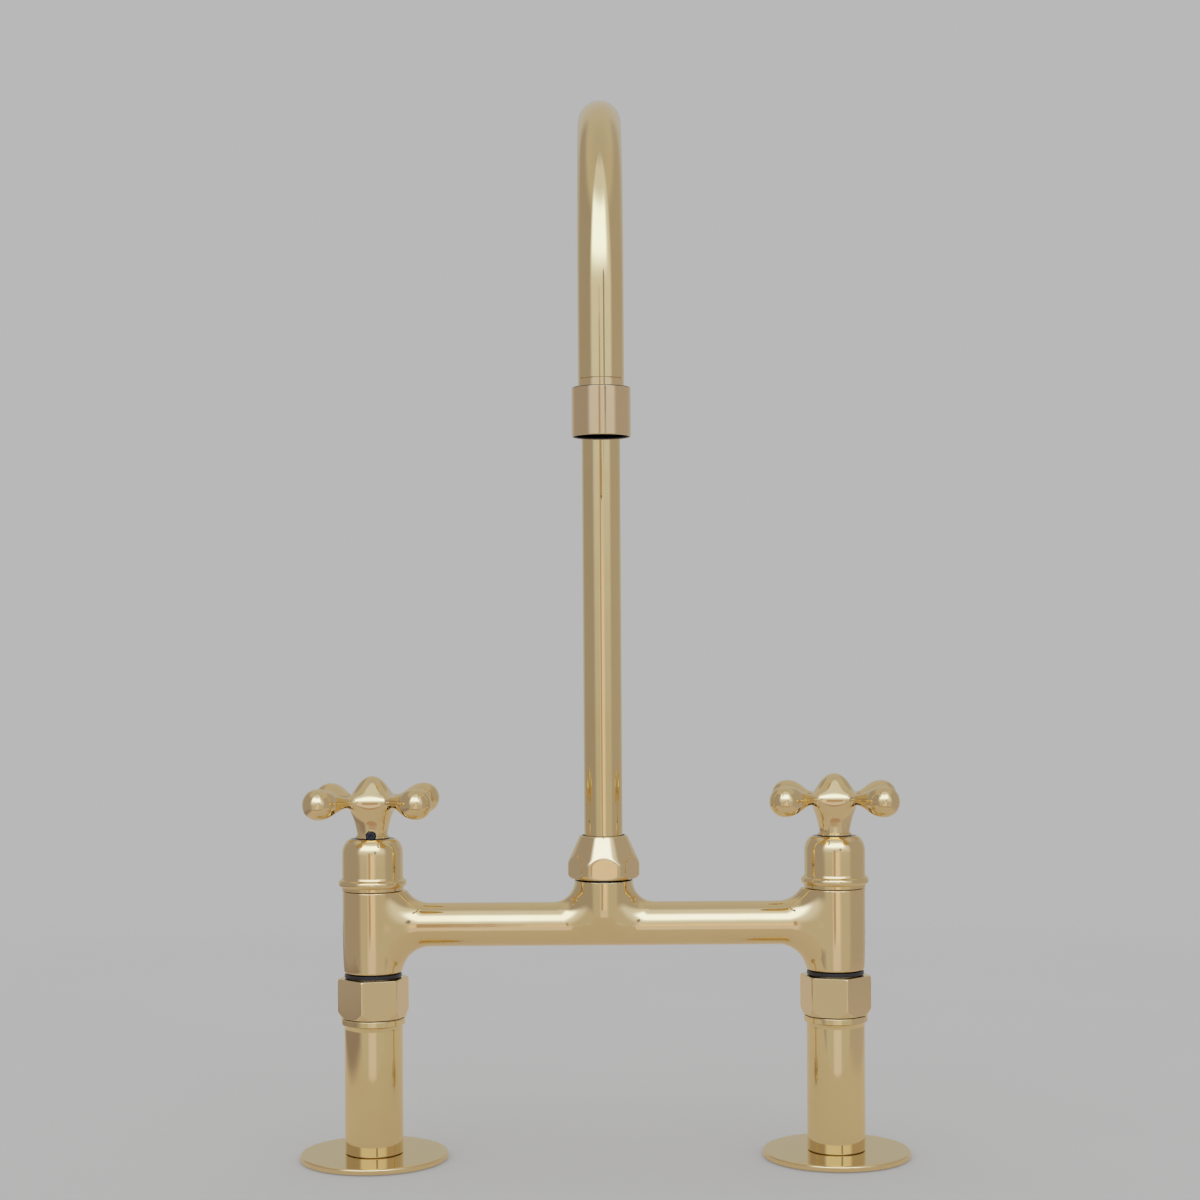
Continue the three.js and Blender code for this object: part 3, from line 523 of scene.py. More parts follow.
rubberLook = {"light": (0.022, 0.022, 0.024, 1), "dark": (0.01, 0.01, 0.012, 1), "metallic": 0.0,
              "roughness": 0.24, "patchScale": 90.0, "grainScale": 1800.0, "grain": 0.15}
nylonLook = dict(rubberLook, light=(0.034, 0.033, 0.032, 1), dark=(0.018, 0.018, 0.018, 1),
                 roughness=0.42, grain=0.3)
plasticLook = dict(rubberLook, light=(0.82, 0.8, 0.75, 1), dark=(0.76, 0.74, 0.68, 1), roughness=0.4)
ceramicLook = dict(rubberLook, light=(0.88, 0.86, 0.82, 1), dark=(0.83, 0.81, 0.77, 1), roughness=0.12,
                   grain=0.03)
steelLook = dict(rubberLook, light=(0.42, 0.41, 0.4, 1), dark=(0.3, 0.29, 0.28, 1), metallic=1.0,
                 roughness=0.22, grain=0.1)
# Dark steel for the grub screws. On the aerator screen the same near-black colour is painted shade deep in the
# outlet.
darkSteelAndShadeLook = dict(steelLook, light=(0.075, 0.075, 0.085, 1), dark=(0.03, 0.03, 0.036, 1), roughness=0.35)
blackRubber = makePlain("blackRubber", rubberLook)
darkNylon = makePlain("darkNylon", nylonLook)
whitePlastic = makePlain("whitePlastic", plasticLook)
ceramic = makePlain("ceramic", ceramicLook)
steel = makePlain("steel", steelLook)
darkSteelAndShade = makePlain("darkSteelAndShade", darkSteelAndShadeLook)
finishes = {"polished_brass": castBrass, "machined_brass": machinedBrass, "black_rubber": blackRubber,
            "dark_nylon": darkNylon, "white_plastic": whitePlastic, "ceramic": ceramic, "steel": steel}

for part in frame["record"]["subparts"]:
    node = frame["nodes"][part["node"]]
    for slot in node.material_slots:
        slot.material = finishes[part["material_slot"]]
print("faucet: materials made")


# ---- turned pieces of each inlet ----

sides = (("left", -layout["postX"]), ("right", layout["postX"]))

flangeShape = {"rim": 32.4, "hole": 11.75, "thickness": 2.5, "upperEdge": 0.9, "lowerEdge": 0.3}


def flangeOutline(f):
    return [(f["hole"], 0, 0), (f["rim"], 0, f["lowerEdge"]), (f["rim"], f["thickness"], f["upperEdge"]),
            (f["hole"], f["thickness"], 0.25)]


def arcCorners(centre, size, first, last, steps, endFillet):
    # Corners along part of an ellipse, between two angles in degrees.
    corners = []
    for k in range(steps + 1):
        turn = math.radians(first + (last - first) * k / steps)
        corners.append((centre[0] + size[0] * math.cos(turn), centre[1] + size[1] * math.sin(turn),
                        None if 0 < k < steps else endFillet))
    return corners


postShape = {"body": 12.75, "foot": 11.45, "footTop": 2.75, "rim": 13.95, "coveBase": 57.0, "rimBase": 59.2,
             "top": 61.8, "tailHole": 9.8, "tailFloor": 50.55, "bore": 7.5, "inlet": 9.5, "inletDepth": 16.0}


def postOutline(p):
    cove = arcCorners((p["rim"], p["coveBase"]), (p["body"] - p["rim"], p["rimBase"] - p["coveBase"]),
                      0, 90, 8, 0.2)
    return [(p["inlet"], 0, 0.3), (p["foot"], 0, 0.3), (p["foot"], p["footTop"], 0.1),
            (p["body"], p["footTop"], 0.35), *cove, (p["rim"], p["top"], 0.5), (p["tailHole"], p["top"], 0.2),
            (p["tailHole"], p["tailFloor"], 0), (p["bore"], p["tailFloor"], 0.1),
            (p["bore"], p["inletDepth"], 0.1), (p["inlet"], p["inletDepth"], 0)]


sealShape = {"outer": 12.5, "inner": 11.3, "base": 79.5, "top": 81.25}


def sealOutline(s):
    return [(s["inner"], s["base"], 0.2), (s["outer"], s["base"], 0.6), (s["outer"], s["top"], 0.6),
            (s["inner"], s["top"], 0.2)]


bonnetShape = {"base": 117.75, "foot": 13.5, "footTop": 1.35, "beadCentre": 3.15, "beadStart": 0.1,
               "beadOut": 1.45, "beadHalf": 1.7, "beadTurn": 82, "body": 13.3, "coveTop": 5.9, "shoulder": 15.95,
               "height": 22.75, "topRadius": 8.6, "hole": 7.65, "web": 3.0, "wall": 2.0}


def bonnetOutline(b):
    base, top = b["base"], b["base"] + b["height"]
    bead = arcCorners((b["body"] + b["beadStart"], base + b["beadCentre"]), (b["beadOut"], b["beadHalf"]),
                      -b["beadTurn"], b["beadTurn"], 12, 0.12)
    shoulder = arcCorners((b["topRadius"], base + b["shoulder"]),
                          (b["body"] - b["topRadius"], b["height"] - b["shoulder"]), 0, 90, 12, None)
    bore = b["body"] - b["wall"]
    return [(b["foot"], base, 0.25), (b["foot"], base + b["footTop"], 0.1), *bead,
            (b["body"], base + b["coveTop"], 0.8), *shoulder, (b["hole"], top, 0.3), (b["hole"], top - b["web"], 0),
            (bore, top - b["web"] - b["wall"], 0.3), (bore, base, 0)]


inletTurned = (
    ("deck_flange", flangeOutline(flangeShape), turnedBrass, "polished_brass"),
    ("post", postOutline(postShape), tubeBrass, "polished_brass"),
    ("nut_seal_ring", sealOutline(sealShape), blackRubber, "black_rubber"),
    ("bonnet", bonnetOutline(bonnetShape), turnedBrass, "polished_brass"))
for side, x in sides:
    for label, outline, finish, slotName in inletTurned:
        addPiece(f"{side}_{label}_fine", turnedSkin(outline), finish, "base", slotName, [f"{side}_{label}"],
                 at=(x, layout["postLine"], 0))
print("faucet: turned pieces made")


# ---- hexagonal nuts ----

def nutSkin(shape, heights, turnedRadius, inner):
    # The outside is the smaller of a hexagon and a turned outline. Then comes the bore: radii and heights.
    angles = circle(roundness["nutSides"])
    rings = []
    for z in heights:
        radius = softMin(hexagon(angles, shape["flats"]), np.full_like(angles, turnedRadius(shape, z)))
        for edge, depth in ((shape["footEdge"], z - heights[0]), (shape["edge"], heights[-1] - z)):
            if depth < edge:
                radius = radius - edge * (1 - math.sqrt(1 - ((edge - depth) / edge) ** 2))
        rings.append(levelRing(angles, radius, z))
    breaks = {0, *range(len(rings) - 1, len(rings) + len(inner))}
    rings += [levelRing(angles, radius, z) for radius, z in inner]
    return gradedSkin(np.array(rings), breaks)


def spacedHeights(low, high, edge, lowZone, highZone):
    # Close together at both ends, where the bevels are.
    curve = lambda count: [edge * (1 - math.cos(k / count * math.pi / 2)) for k in range(count)]
    lower = [low + h for h in curve(5)] + list(np.linspace(low + edge, low + lowZone, 20))
    upper = list(np.linspace(high - highZone, high - edge, 12)) + [high - h for h in reversed(curve(5))]
    return lower + upper


unionNutShape = {"base": 62.05, "height": 17.2, "flats": 27.4, "corner": 15.82, "footRadius": 14.1, "bevel": 3.0,
                 "topRadius": 15.3, "topBevel": 0.9, "footEdge": 0.3, "edge": 0.3, "bore": 11.3, "lip": 2.4,
                 "tailHole": 9.8, "turns": {"left": 16.5, "right": -16.5}}
spoutNutShape = {"base": 122.3, "height": 18.9, "flats": 28.9, "foot": 13.25, "body": 15.7, "roundHeight": 2.2,
                 "plain": 0.5, "band": 7.2, "coneBlend": 90, "top": 10.35, "footEdge": 0.15, "edge": 0.35,
                 "bore": 11.3, "webBase": 13.3, "tubeHole": 9.4}


def unionNutRadius(n, z):
    lower = n["footRadius"] + (z - n["base"]) * (n["corner"] - n["footRadius"]) / n["bevel"]
    upper = n["topRadius"] + (n["base"] + n["height"] - z) * (n["corner"] - n["topRadius"]) / n["topBevel"]
    return min(lower, upper)


def unionNutSkin(n):
    base, top, lip = n["base"], n["base"] + n["height"], n["base"] + n["lip"]
    heights = spacedHeights(base, top, n["edge"], n["bevel"] + 0.6, n["topBevel"] + 0.5)
    inner = [(n["bore"], top), (n["bore"], lip), (n["tailHole"], lip), (n["tailHole"], base)]
    return nutSkin(n, heights, unionNutRadius, inner)


def spoutNutRadius(n, z):
    h = z - n["base"]
    if h < n["roundHeight"]:
        return n["body"] + (n["foot"] - n["body"]) * (1 - math.sqrt(1 - (1 - h / n["roundHeight"]) ** 2))
    if h <= n["roundHeight"] + n["plain"]:
        return n["body"]
    cone = n["body"] + (n["top"] - n["body"]) * (h - n["band"]) / (n["height"] - n["band"])
    return float(softMin(n["body"], cone, power=n["coneBlend"]))


def spoutNutSkin(n):
    base, top, web = n["base"], n["base"] + n["height"], n["base"] + n["webBase"]
    heights = [base + n["roundHeight"] * (1 - math.cos(k / 10 * math.pi / 2)) for k in range(10)]
    heights += list(np.linspace(base + n["roundHeight"], top - n["edge"], 44))
    heights += [top - n["edge"] * (1 - math.sin(k / 5 * math.pi / 2)) for k in range(1, 6)]
    inner = [(n["tubeHole"], top), (n["tubeHole"], web), (n["bore"], web), (n["bore"], base)]
    return nutSkin(n, heights, spoutNutRadius, inner)


unionNut = unionNutSkin(unionNutShape)
for side, x in sides:
    addPiece(f"{side}_union_nut_fine", unionNut, nutBrass, "base", "polished_brass", [f"{side}_union_nut"],
             at=(x, layout["postLine"], 0), turn=math.radians(unionNutShape["turns"][side]))
addPiece("spout_nut_fine", spoutNutSkin(spoutNutShape), nutBrass, "base", "polished_brass", ["spout_nut"],
         at=(0, layout["postLine"], 0))
print("faucet: nuts made")


# ---- the bridge casting ----

bridgeShape = {
    "bar": 9.5, "barrel": 13.2, "barrelFoot": 12.5, "below": 20.8, "above": 15.2, "neck": 11.0, "neckFoot": 33.3,
    "barEnd": 3.0, "fillet": 12.0, "leastFillet": 0.4, "filletPower": 0.5, "footEdge": 0.9, "topEdge": 0.5,
    "tee": 12.8, "teeBase": 6.0, "teeTop": 19.5, "teeTopEnds": (50, 40), "teeLimits": (-30, 60),
    "teeFillet": 9.5, "teeFilletRise": (-7, 1), "teeLeastFillet": 0.3, "teeMoreFillet": 1.7, "teeSwell": 7.5,
    "teeDepth": 15.4, "spigot": 11.0, "spigotTop": 28.3, "chamber": 10.0, "seat": 9.0, "neckBore": 6.0,
    "waterway": 5.5, "teeBore": 8.8, "teeFloor": 4.0, "low": (-116.4, -15.0, -35.1), "high": (116.4, 15.0, 30.0)}


def bridgeField(x, y, z):
    b = bridgeShape
    u = np.abs(x) - layout["postX"]
    across = np.hypot(y, z)
    end = u + b["barEnd"]
    bar = np.hypot(np.maximum(across - b["bar"], 0), np.maximum(end, 0))
    bar += np.minimum(np.maximum(across - b["bar"], end), 0)
    barForward = y / np.maximum(across, small)
    reach = np.hypot(u, y)
    drawnIn = np.sqrt(np.maximum(1 - (np.minimum(z, 0) / b["below"]) ** 2, 0))
    barrel = reach - (b["barrelFoot"] + (b["barrel"] - b["barrelFoot"]) * drawnIn)
    alike = np.maximum(barForward * y / np.maximum(reach, small), 0)
    fillet = np.maximum(b["fillet"] * (1 - alike) ** b["filletPower"], b["leastFillet"])
    shape = roundJoin(bar, barrel, fillet)
    shape = roundCut(shape, -b["below"] - z, b["footEdge"])
    # the tee: an upright column that draws in to the bar's front and back
    depth = b["tee"] * np.sqrt(np.clip(1 - (np.maximum(b["teeSwell"] - z, 0) / b["teeDepth"]) ** 2, 0.01, 1))
    scaled = np.hypot(x / b["tee"], y / depth)
    slope = np.hypot(x / b["tee"] ** 2, y / depth ** 2) / np.maximum(scaled, small)
    tee = np.clip((scaled - 1) / np.maximum(slope, small), *b["teeLimits"])
    tee = np.maximum(tee, -(z + b["teeBase"]))
    alike = np.maximum(barForward * y / np.maximum(np.hypot(x, y), small), 0)
    upper = smoothStep(*b["teeFilletRise"], z)
    fillet = np.maximum(b["teeFillet"] * (1 - alike) ** b["filletPower"] * upper,
                        b["teeLeastFillet"] + b["teeMoreFillet"] * upper)
    shape = roundJoin(shape, tee, fillet)
    isTee = smoothStep(*b["teeTopEnds"], np.abs(x))
    shape = roundCut(shape, z - (b["above"] + (b["teeTop"] - b["above"]) * isTee), b["topEdge"])
    neck = np.maximum(reach - b["neck"], np.maximum(-b["neckFoot"] - z, z))
    spigot = np.maximum(np.hypot(x, y) - b["spigot"], np.maximum(z - b["spigotTop"], -z))
    shape = np.minimum(shape, np.minimum(neck, spigot))
    bores = np.maximum(reach - b["chamber"], -b["seat"] - z)
    bores = np.minimum(bores, np.maximum(reach - b["neckBore"], z))
    bores = np.minimum(bores, np.maximum(across - b["waterway"], u))
    bores = np.minimum(bores, np.maximum(np.hypot(x, y) - b["teeBore"], b["teeFloor"] - z))
    return np.maximum(shape, -bores)


bridge = castSkin(bridgeField, bridgeShape["low"], bridgeShape["high"], roundness["bridgeCell"])
addPiece("bridge_body_fine", bridge, castBrass, "base", "polished_brass", ["bridge_body"],
         at=(0, layout["postLine"], layout["bridgeAxis"]))
print("faucet: bridge made,", len(bridge[0]), "points")


# ---- cross handles ----

handleShape = {
    "neckFoot": -17.8, "footEdge": 0.2, "lipTop": -15.1, "lip": 7.35, "lipEdge": 0.35, "armFillet": 4.5,
    "waist": 2.35, "bulb": 6.75, "waistAt": 14.0, "bulbAt": 29.2, "reach": 36.5, "endSquare": 2.4,
    "farthest": 45, "shaft": 4.3, "shaftTop": -1.95, "grubHole": 2.2, "grubHeight": -15.0,
    "turns": {"left": 0.0, "right": 174.0}, "low": (-30.0, -30.0, -18.6), "high": (30.0, 30.0, 12.0)}
# Squared radius of the hub at each height.
bodySquare = smoothCurve([(-17.8, 44.2), (-14.2, 44.5), (-11, 53.0), (-8, 64.5), (-5.4, 79.0), (-3, 92.0),
                          (-1, 97.5), (0.6, 94.0), (2.0, 84.0), (3.7, 66.0), (5.6, 49.0), (7.6, 33.0),
                          (9.5, 15.5), (11, 0)])


def armSquare(s):
    # Squared radius of an arm at each distance from the handle's axis.
    h = handleShape
    rise = smoothStep(h["waistAt"], h["bulbAt"], s)
    swell = (h["waist"] + (h["bulb"] - h["waist"]) * rise) ** 2
    end = np.maximum(s - h["bulbAt"], 0) / (h["reach"] - h["bulbAt"])
    return swell - h["bulb"] ** 2 * end ** h["endSquare"]


def squareField(across, squareAt, place, step=0.05, softness=0.5):
    # Distance to a round shape given by its squared radius at each place along its axis.
    slope = (squareAt(place + step) - squareAt(place - step)) / (2 * step)
    return (across ** 2 - squareAt(place)) / np.sqrt(4 * across ** 2 + slope ** 2 + softness)


def handleField(x, y, z):
    h = handleShape
    across = np.hypot(x, y)
    shape = squareField(across, bodySquare, z)
    for turn in (45, 135, 225, 315):
        c, s = math.cos(math.radians(turn)), math.sin(math.radians(turn))
        along, beside = x * c + y * s, -x * s + y * c
        arm = squareField(np.hypot(beside, z), armSquare, np.clip(along, 0, h["farthest"]))
        shape = roundJoin(shape, np.maximum(arm, -along), h["armFillet"])
    lip = roundCut(across - h["lip"], z - h["lipTop"], h["lipEdge"])
    shape = np.minimum(shape, lip)
    shape = roundCut(shape, h["neckFoot"] - z, h["footEdge"])
    bores = np.maximum(across - h["shaft"], z - h["shaftTop"])
    grub = np.maximum(np.hypot(x, z - h["grubHeight"]) - h["grubHole"], y)
    return np.maximum(shape, -np.minimum(bores, grub))


handle = castSkin(handleField, handleShape["low"], handleShape["high"], roundness["handleCell"])
grubShape = {"radius": 1.95, "tip": 4.0, "face": 7.1, "socket": 1.15, "socketDepth": 1.6, "edge": 0.25}


def grubSkin(g):
    # A short screw pointing forward, with a hexagonal socket in its face.
    angles = circle(48)
    c, s = np.cos(angles), np.sin(angles)
    socket = hexagon(angles, 2 * g["socket"] * math.cos(math.pi / 6), power=200)
    levels = [(0, g["tip"]), (g["radius"] - 0.5, g["tip"]), (g["radius"], g["tip"] + 0.5),
              (g["radius"], g["face"] - g["edge"]), (g["radius"] - g["edge"], g["face"]), (socket, g["face"]),
              (socket, g["face"] - g["socketDepth"]), (0, g["face"] - g["socketDepth"] - 0.4)]
    rings = np.array([np.stack([r * c, np.full_like(c, -level), r * s], axis=1) for r, level in levels])
    return gradedSkin(rings, set(range(len(levels))), closed=False)


grub = grubSkin(grubShape)
for side, x in sides:
    turn, height = math.radians(handleShape["turns"][side]), layout["armAxis"]
    addPiece(f"{side}_cross_handle_fine", handle, castBrass, f"{side}_valve", "polished_brass",
             [f"{side}_cross_handle"], at=(x, layout["postLine"], height), turn=turn)
    addPiece(f"{side}_grub_screw_fine", grub, darkSteelAndShade, f"{side}_valve", "steel", [f"{side}_grub_screw"],
             at=(x, layout["postLine"], height + handleShape["grubHeight"]), turn=turn)
print("faucet: handles made,", len(handle[0]), "points each")


# ---- spout ----

tubeShape = {"radius": 8.4, "bore": 7.2, "foot": 134.35, "bendHeight": 353.8, "bendRadius": 78.75, "end": 321.5,
             "straightSteps": 2, "bendSteps": 180}


def tubeSkin(t):
    angles = circle(roundness["smallSides"])
    heights = t["foot"], t["bendHeight"], t["end"]
    rise, fall = (np.linspace(a, b, t["straightSteps"] + 1) for a, b in zip(heights, heights[1:]))
    path = [(0, z, 0) for z in rise[:-1]]
    for k in range(t["bendSteps"] + 1):
        turn = k / t["bendSteps"] * math.pi
        y = t["bendRadius"] * (math.cos(turn) - 1)
        path.append((y, t["bendHeight"] + t["bendRadius"] * math.sin(turn), turn))
    path += [(-2 * t["bendRadius"], z, math.pi) for z in fall[1:]]
    rings, normals = [], []
    for radius, way, spots in ((t["radius"], 1, path), (t["bore"], -1, path[::-1])):
        for y, z, turn in spots:
            side = np.array([0, math.cos(turn), math.sin(turn)])
            out = np.cos(angles)[:, None] * np.array([1, 0, 0]) + np.sin(angles)[:, None] * side
            rings.append(np.array([0, y, z]) + radius * out)
            normals.append(way * out)
    low, high = np.array(normals), np.roll(normals, -1, axis=0)
    ends = [len(path) - 1, -1]
    low[ends] = high[ends] = (0, 0, -1)  # both ends of the tube face down
    return meshSkin(np.array(rings), low, high, True)


addPiece("spout_tube_fine", tubeSkin(tubeShape), tubeBrass, "spout", "polished_brass", ["spout_tube"],
         at=(0, layout["postLine"], 0))

bushShape = {"flange": 10.7, "sleeve": 9.1, "hole": 8.7, "base": 134.35, "flangeTop": 135.35, "top": 140.6}
endRingShape = {"body": 8.4, "bore": 5.5, "plug": 6.9, "foot": 313.35, "bandTop": 321.25, "top": 325.5}
housingShape = {"body": 10.8, "bore": 8.7, "mouth": 10.3, "base": 300.35, "top": 318.35, "mouthRoof": 301.5,
                "lowerEdge": 0.35, "upperEdge": 0.5}


def bushOutline(b):
    return [(b["hole"], b["base"], 0), (b["flange"], b["base"], 0.1), (b["flange"], b["flangeTop"], 0.1),
            (b["sleeve"], b["flangeTop"], 0.1), (b["sleeve"], b["top"], 0.1), (b["hole"], b["top"], 0.1)]


def endRingOutline(e):
    return [(e["bore"], e["foot"], 0.2), (e["body"], e["foot"], 0.2), (e["body"], e["bandTop"], 0.12),
            (e["plug"], e["bandTop"], 0), (e["plug"], e["top"], 0.2), (e["bore"], e["top"], 0.2)]


def housingOutline(h):
    return [(h["body"], h["base"], h["lowerEdge"]), (h["body"], h["top"], h["upperEdge"]),
            (h["bore"], h["top"], 0.2), (h["bore"], h["mouthRoof"], 0), (h["mouth"], h["mouthRoof"], 0),
            (h["mouth"], h["base"], 0.08)]


spoutTurned = (
    ("spout_bush", bushOutline(bushShape), darkNylon, "dark_nylon", "base", "postLine"),
    ("spout_end_ring", endRingOutline(endRingShape), nutBrass, "polished_brass", "spout", "outletY"),
    ("aerator_housing", housingOutline(housingShape), outletBrass, "polished_brass", "spout", "outletY"))
for label, outline, finish, slotName, body, line in spoutTurned:
    addPiece(f"{label}_fine", turnedSkin(outline), finish, body, slotName, [label], at=(0, layout[line], 0))

screenShape = {"radius": 10.0, "rim": 9.55, "tuck": 0.2, "wires": 22, "pitch": 0.88, "wire": 0.14, "wave": 0.145,
               "sides": 6, "stepsPerPitch": 8, "base": 300.65, "top": 301.25}


def wireSkin(s, number, crosswise):
    # One wire of the weave: over one crossing wire and under the next.
    middle = (s["wires"] - 1) / 2
    offset = (number - middle) * s["pitch"]
    half = math.sqrt((s["rim"] + s["tuck"]) ** 2 - offset ** 2)
    along = np.linspace(-half, half, int(s["stepsPerPitch"] * half / s["pitch"]) + 2)
    turn = math.pi * (along / s["pitch"] + middle + number + crosswise)
    lift = s["wave"] * np.cos(turn)
    slope = -s["wave"] * math.pi / s["pitch"] * np.sin(turn)
    steepness = np.hypot(slope, 1)[:, None]
    angles = circle(s["sides"])
    out = np.stack([-slope[:, None] / steepness * np.sin(angles), np.tile(-np.cos(angles), (len(along), 1)),
                    1 / steepness * np.sin(angles)], axis=2)
    spine = np.stack([along, np.full_like(along, offset), lift + (s["base"] + s["top"]) / 2], axis=1)[:, None]
    caps = [np.tile(spot, (1, s["sides"], 1)) for spot in (spine[:1], spine[-1:])]
    rings = np.concatenate([caps[0], spine + s["wire"] * out, caps[1]])
    out = np.concatenate([out[:1], out, out[-1:]])
    if crosswise:
        rings, out = (np.stack([-a[..., 1], a[..., 0], a[..., 2]], axis=2) for a in (rings, out))
    return meshSkin(rings, list(out[:-1]), list(out[1:]), False)


def screenSkin(s):
    woven = [turnedSkin([(s["rim"], s["base"], 0.05), (s["radius"], s["base"], 0.1),
                         (s["radius"], s["top"], 0.1), (s["rim"], s["top"], 0.05)])]
    woven += [wireSkin(s, number, crosswise) for crosswise in (0, 1) for number in range(s["wires"])]
    points, faces, normals = zip(*woven)
    starts = np.cumsum([0] + [len(part) for part in points]).tolist()
    faces = [[i + start for i in face] for part, start in zip(faces, starts) for face in part]
    return np.concatenate(points), faces, np.concatenate(normals)


# The screen's near-black colour is painted shade inside the outlet.
addPiece("aerator_screen_fine", screenSkin(screenShape), darkSteelAndShade, "spout", "steel", ["aerator_screen"],
         at=(0, layout["outletY"], 0))
print("faucet: spout made")


# ---- studio ----

studio = {
    "background": (0.479, 0.479, 0.479, 1), "paperDark": (0.46463, 0.46463, 0.46463, 1), "level": 1.0,
    "mirrored": (0.50, 0.485, 0.50, 1), "mirroredFloor": (0.51, 0.47, 0.47, 1),
    "mirroredLeft": (0.29, 0.24, 0.25, 1), "mirroredRight": (0.44, 0.40, 0.43, 1),
    "camera": (-0.001, -0.866, 0.222), "roll": 0.37, "lens": 63.71, "shift": 0.0427}

camera = bpy.data.cameras.new("camera")
camera.lens, camera.sensor_width, camera.shift_y = studio["lens"], 36, studio["shift"]
cameraObject = bpy.data.objects.new("camera", camera)
cameraObject.location = studio["camera"]
cameraObject.rotation_euler = math.radians(90), math.radians(studio["roll"]), 0
bpy.context.scene.collection.objects.link(cameraObject)
bpy.context.scene.camera = cameraObject
bpy.context.scene.view_settings.view_transform = "Standard"

# Patches of the room that bare metal mirrors: degrees from straight ahead to the right, degrees up, softness.
roomPatches = [
    ("ceiling", (-200, 200), (68, 120), 22, (0.47, 0.46, 0.50, 1)),
    ("leftWall", (-150, -44), (-75, 46), 16, (0.36, 0.33, 0.35, 1)),
    ("rightWall", (54, 150), (-75, 46), 16, (0.41, 0.38, 0.40, 1)),
    ("backLow", (136, 224), (-12, 22), 16, (0.45, 0.45, 0.45, 1)),
    ("backLowLeft", (-224, -136), (-12, 22), 16, (0.45, 0.45, 0.45, 1)),
    ("wallAbove", (-50, 54), (4, 82), 18, (0.64, 0.69, 0.90, 1)),
    ("window", (-48, 36), (21, 56), 18, (0.97, 1.17, 1.9, 1)),
    ("frontLow", (-14, 16), (-29, 3), 9, (0.62, 0.60, 0.74, 1)),
    ("centreStrip", (-2, 12), (-9, 3), 4, (0.70, 0.66, 0.74, 1)),
    ("doorLine", (-10, -3), (-9, 9), 3, (0.47, 0.36, 0.30, 1)),
    ("frameLine", (13, 19), (6, 18), 3, (0.30, 0.26, 0.26, 1)),
    ("tableEdge", (-70, 70), (-37, -30), 3, (0.43, 0.31, 0.26, 1)),
]


def makeRoomPatch():
    group, start, end = makeGroup("roomPatch", [
        ("Around", "NodeSocketFloat", 0.0), ("Up", "NodeSocketFloat", 0.0),
        ("Left", "NodeSocketFloat", 0.0), ("Right", "NodeSocketFloat", 0.0),
        ("Low", "NodeSocketFloat", 0.0), ("High", "NodeSocketFloat", 0.0),
        ("Softness", "NodeSocketFloat", 5.0)], [("Mask", "NodeSocketFloat")])

    def edge(value, limit, way):
        gap = maths(group, "SUBTRACT", value, limit) if way > 0 else maths(group, "SUBTRACT", limit, value)
        part = maths(group, "DIVIDE", gap, start.outputs["Softness"])
        return rampBetween(group, part, -0.5, 0.5)

    mask = maths(group, "MULTIPLY", edge(start.outputs["Around"], start.outputs["Left"], 1),
                 edge(start.outputs["Around"], start.outputs["Right"], -1))
    mask = maths(group, "MULTIPLY", mask, edge(start.outputs["Up"], start.outputs["Low"], 1))
    mask = maths(group, "MULTIPLY", mask, edge(start.outputs["Up"], start.outputs["High"], -1))
    group.links.new(mask, end.inputs["Mask"])
    return group


world = bpy.data.worlds.new("studio")
world.use_nodes = True
bpy.context.scene.world = world
tree = world.node_tree
tree.nodes.clear()
way = addNode(tree, "ShaderNodeSeparateXYZ", Vector=addNode(tree, "ShaderNodeTexCoord").outputs["Generated"])
forward = maths(tree, "MULTIPLY", way.outputs["Y"], -1.0)
around = maths(tree, "DEGREES", maths(tree, "ARCTAN2", way.outputs["X"], forward))
up = maths(tree, "DEGREES", maths(tree, "ARCSINE", way.outputs["Z"]))
roomPatch = makeRoomPatch()
mirrored = studio["mirrored"]
for label, (left, right), (low, high), softness, colour in roomPatches:
    patch = putGroup(tree, roomPatch, Left=left, Right=right, Low=low, High=high, Softness=softness)
    patch.label = label
    tree.links.new(around, patch.inputs["Around"])
    tree.links.new(up, patch.inputs["Up"])
    mirrored = mixColour(tree, patch.outputs["Mask"], mirrored, colour)
rays = addNode(tree, "ShaderNodeLightPath")
lit = addNode(tree, "ShaderNodeBackground", Color=(1, 1, 1, 1), Strength=studio["level"]).outputs[0]
shiny = addNode(tree, "ShaderNodeBackground", Color=mirrored, Strength=1.0).outputs[0]
seen = addNode(tree, "ShaderNodeBackground", Color=studio["background"], Strength=1.0).outputs[0]
glossy = maths(tree, "MAXIMUM", rays.outputs["Is Glossy Ray"], rays.outputs["Is Transmission Ray"])
reflectedOrLit = addNode(tree, "ShaderNodeMixShader", i0=glossy, i1=lit, i2=shiny).outputs[0]
whole = addNode(tree, "ShaderNodeMixShader", i0=rays.outputs["Is Camera Ray"], i1=reflectedOrLit, i2=seen)
tree.links.new(whole.outputs[0], addNode(tree, "ShaderNodeOutputWorld").inputs["Surface"])

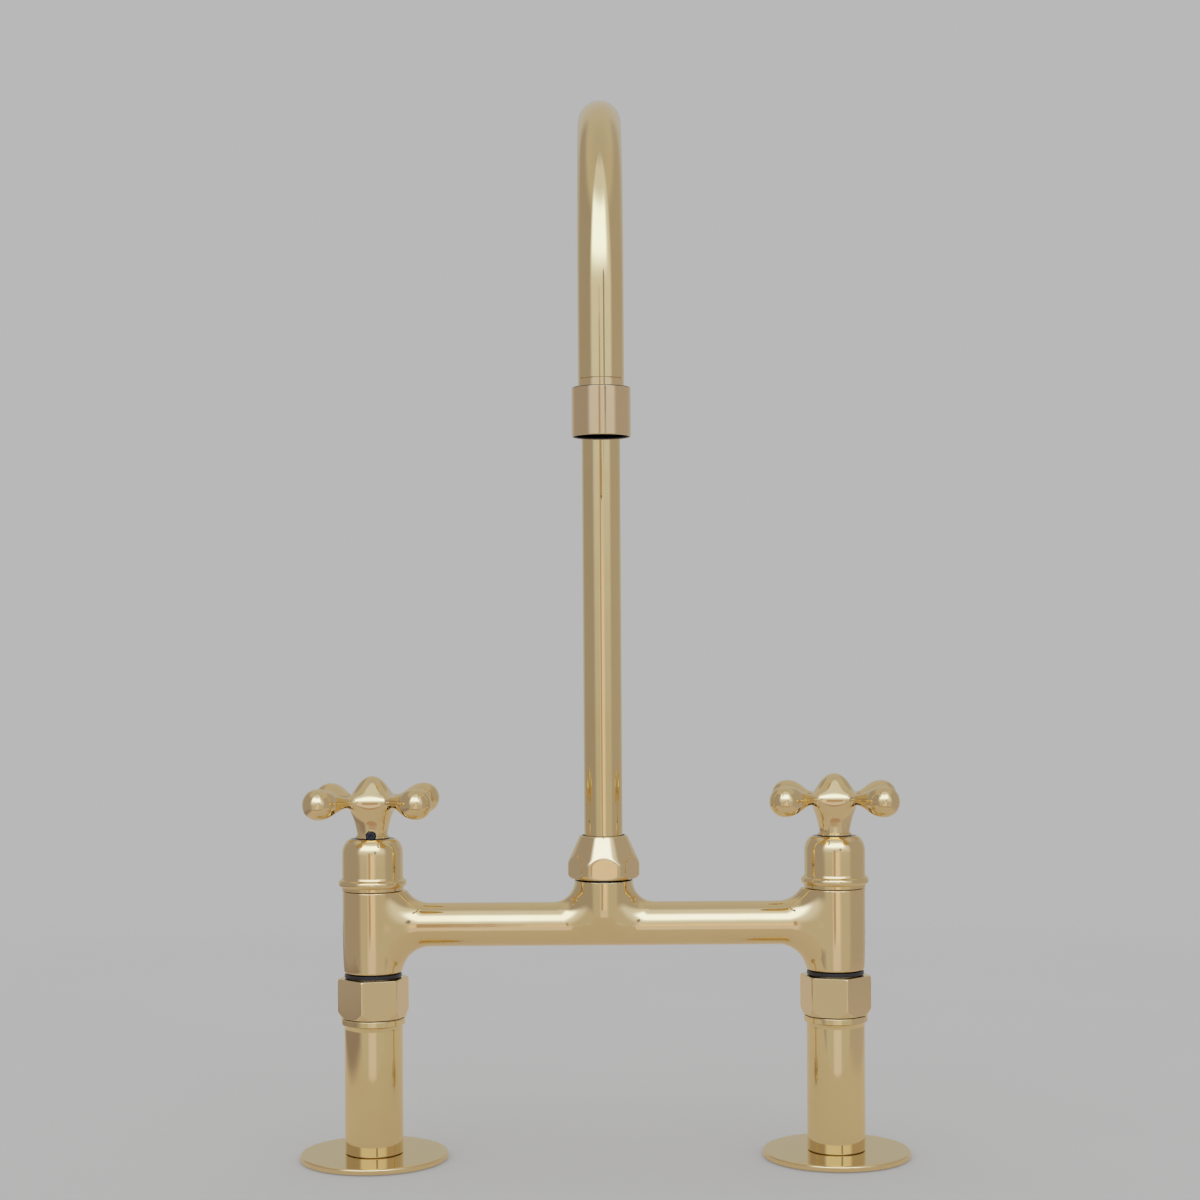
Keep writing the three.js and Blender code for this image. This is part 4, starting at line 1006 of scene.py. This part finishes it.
# The floor fades into the background a little way from the faucet.
floorShape = {"front": -0.13, "back": 0.95, "half": 0.62, "fade": 0.25, "drop": 0.0004, "glow": 0.35,
              "grainScale": 6.0, "mirroredFrom": 0.26, "mirroredTo": 0.36}
f = floorShape
floorMesh = bpy.data.meshes.new("floor")
corners = (-f["half"], f["front"]), (f["half"], f["front"]), (f["half"], f["back"]), (-f["half"], f["back"])
floorMesh.from_pydata([(x, y, -f["drop"]) for x, y in corners], [], [(0, 1, 2, 3)])
floor = bpy.data.objects.new("floor", floorMesh)
bpy.context.scene.collection.objects.link(floor)
floorMaterial, tree, shader = newMaterial("floorPaper", 0.0, 0.85)
place = addNode(tree, "ShaderNodeSeparateXYZ", Vector=objectPlace(tree))
grain = addNode(tree, "ShaderNodeTexNoise", Scale=f["grainScale"], Detail=2.0, Vector=objectPlace(tree))
paper = mixColour(tree, grain.outputs[0], studio["paperDark"], studio["background"])
# Painted reflection: in glossy rays the floor shows colours other than its own, darker towards the left and right,
# standing for the room that the brass mirrors.
isMirrored = addNode(tree, "ShaderNodeLightPath").outputs["Is Glossy Ray"]
onLeft = rampBetween(tree, place.outputs["X"], -f["mirroredFrom"], -f["mirroredTo"])
onRight = rampBetween(tree, place.outputs["X"], f["mirroredFrom"], f["mirroredTo"])
inMirror = mixColour(tree, onLeft, studio["mirroredFloor"], studio["mirroredLeft"])
inMirror = mixColour(tree, onRight, inMirror, studio["mirroredRight"])
paper = mixColour(tree, isMirrored, paper, inMirror)
shader.inputs["Specular IOR Level"].default_value = 0.0
matt = mixColour(tree, f["glow"], paper, (0, 0, 0, 1))
tree.links.new(matt, shader.inputs["Base Color"])
tree.links.new(paper, shader.inputs["Emission Color"])
shader.inputs["Emission Strength"].default_value = f["glow"]
beside = rampBetween(tree, maths(tree, "ABSOLUTE", place.outputs["X"]), f["half"], f["half"] - f["fade"])
behind = rampBetween(tree, place.outputs["Y"], f["back"], f["back"] - f["fade"])
tree.links.new(maths(tree, "MULTIPLY", beside, behind), shader.inputs["Alpha"])
floorMesh.materials.append(floorMaterial)
print("faucet: studio made")
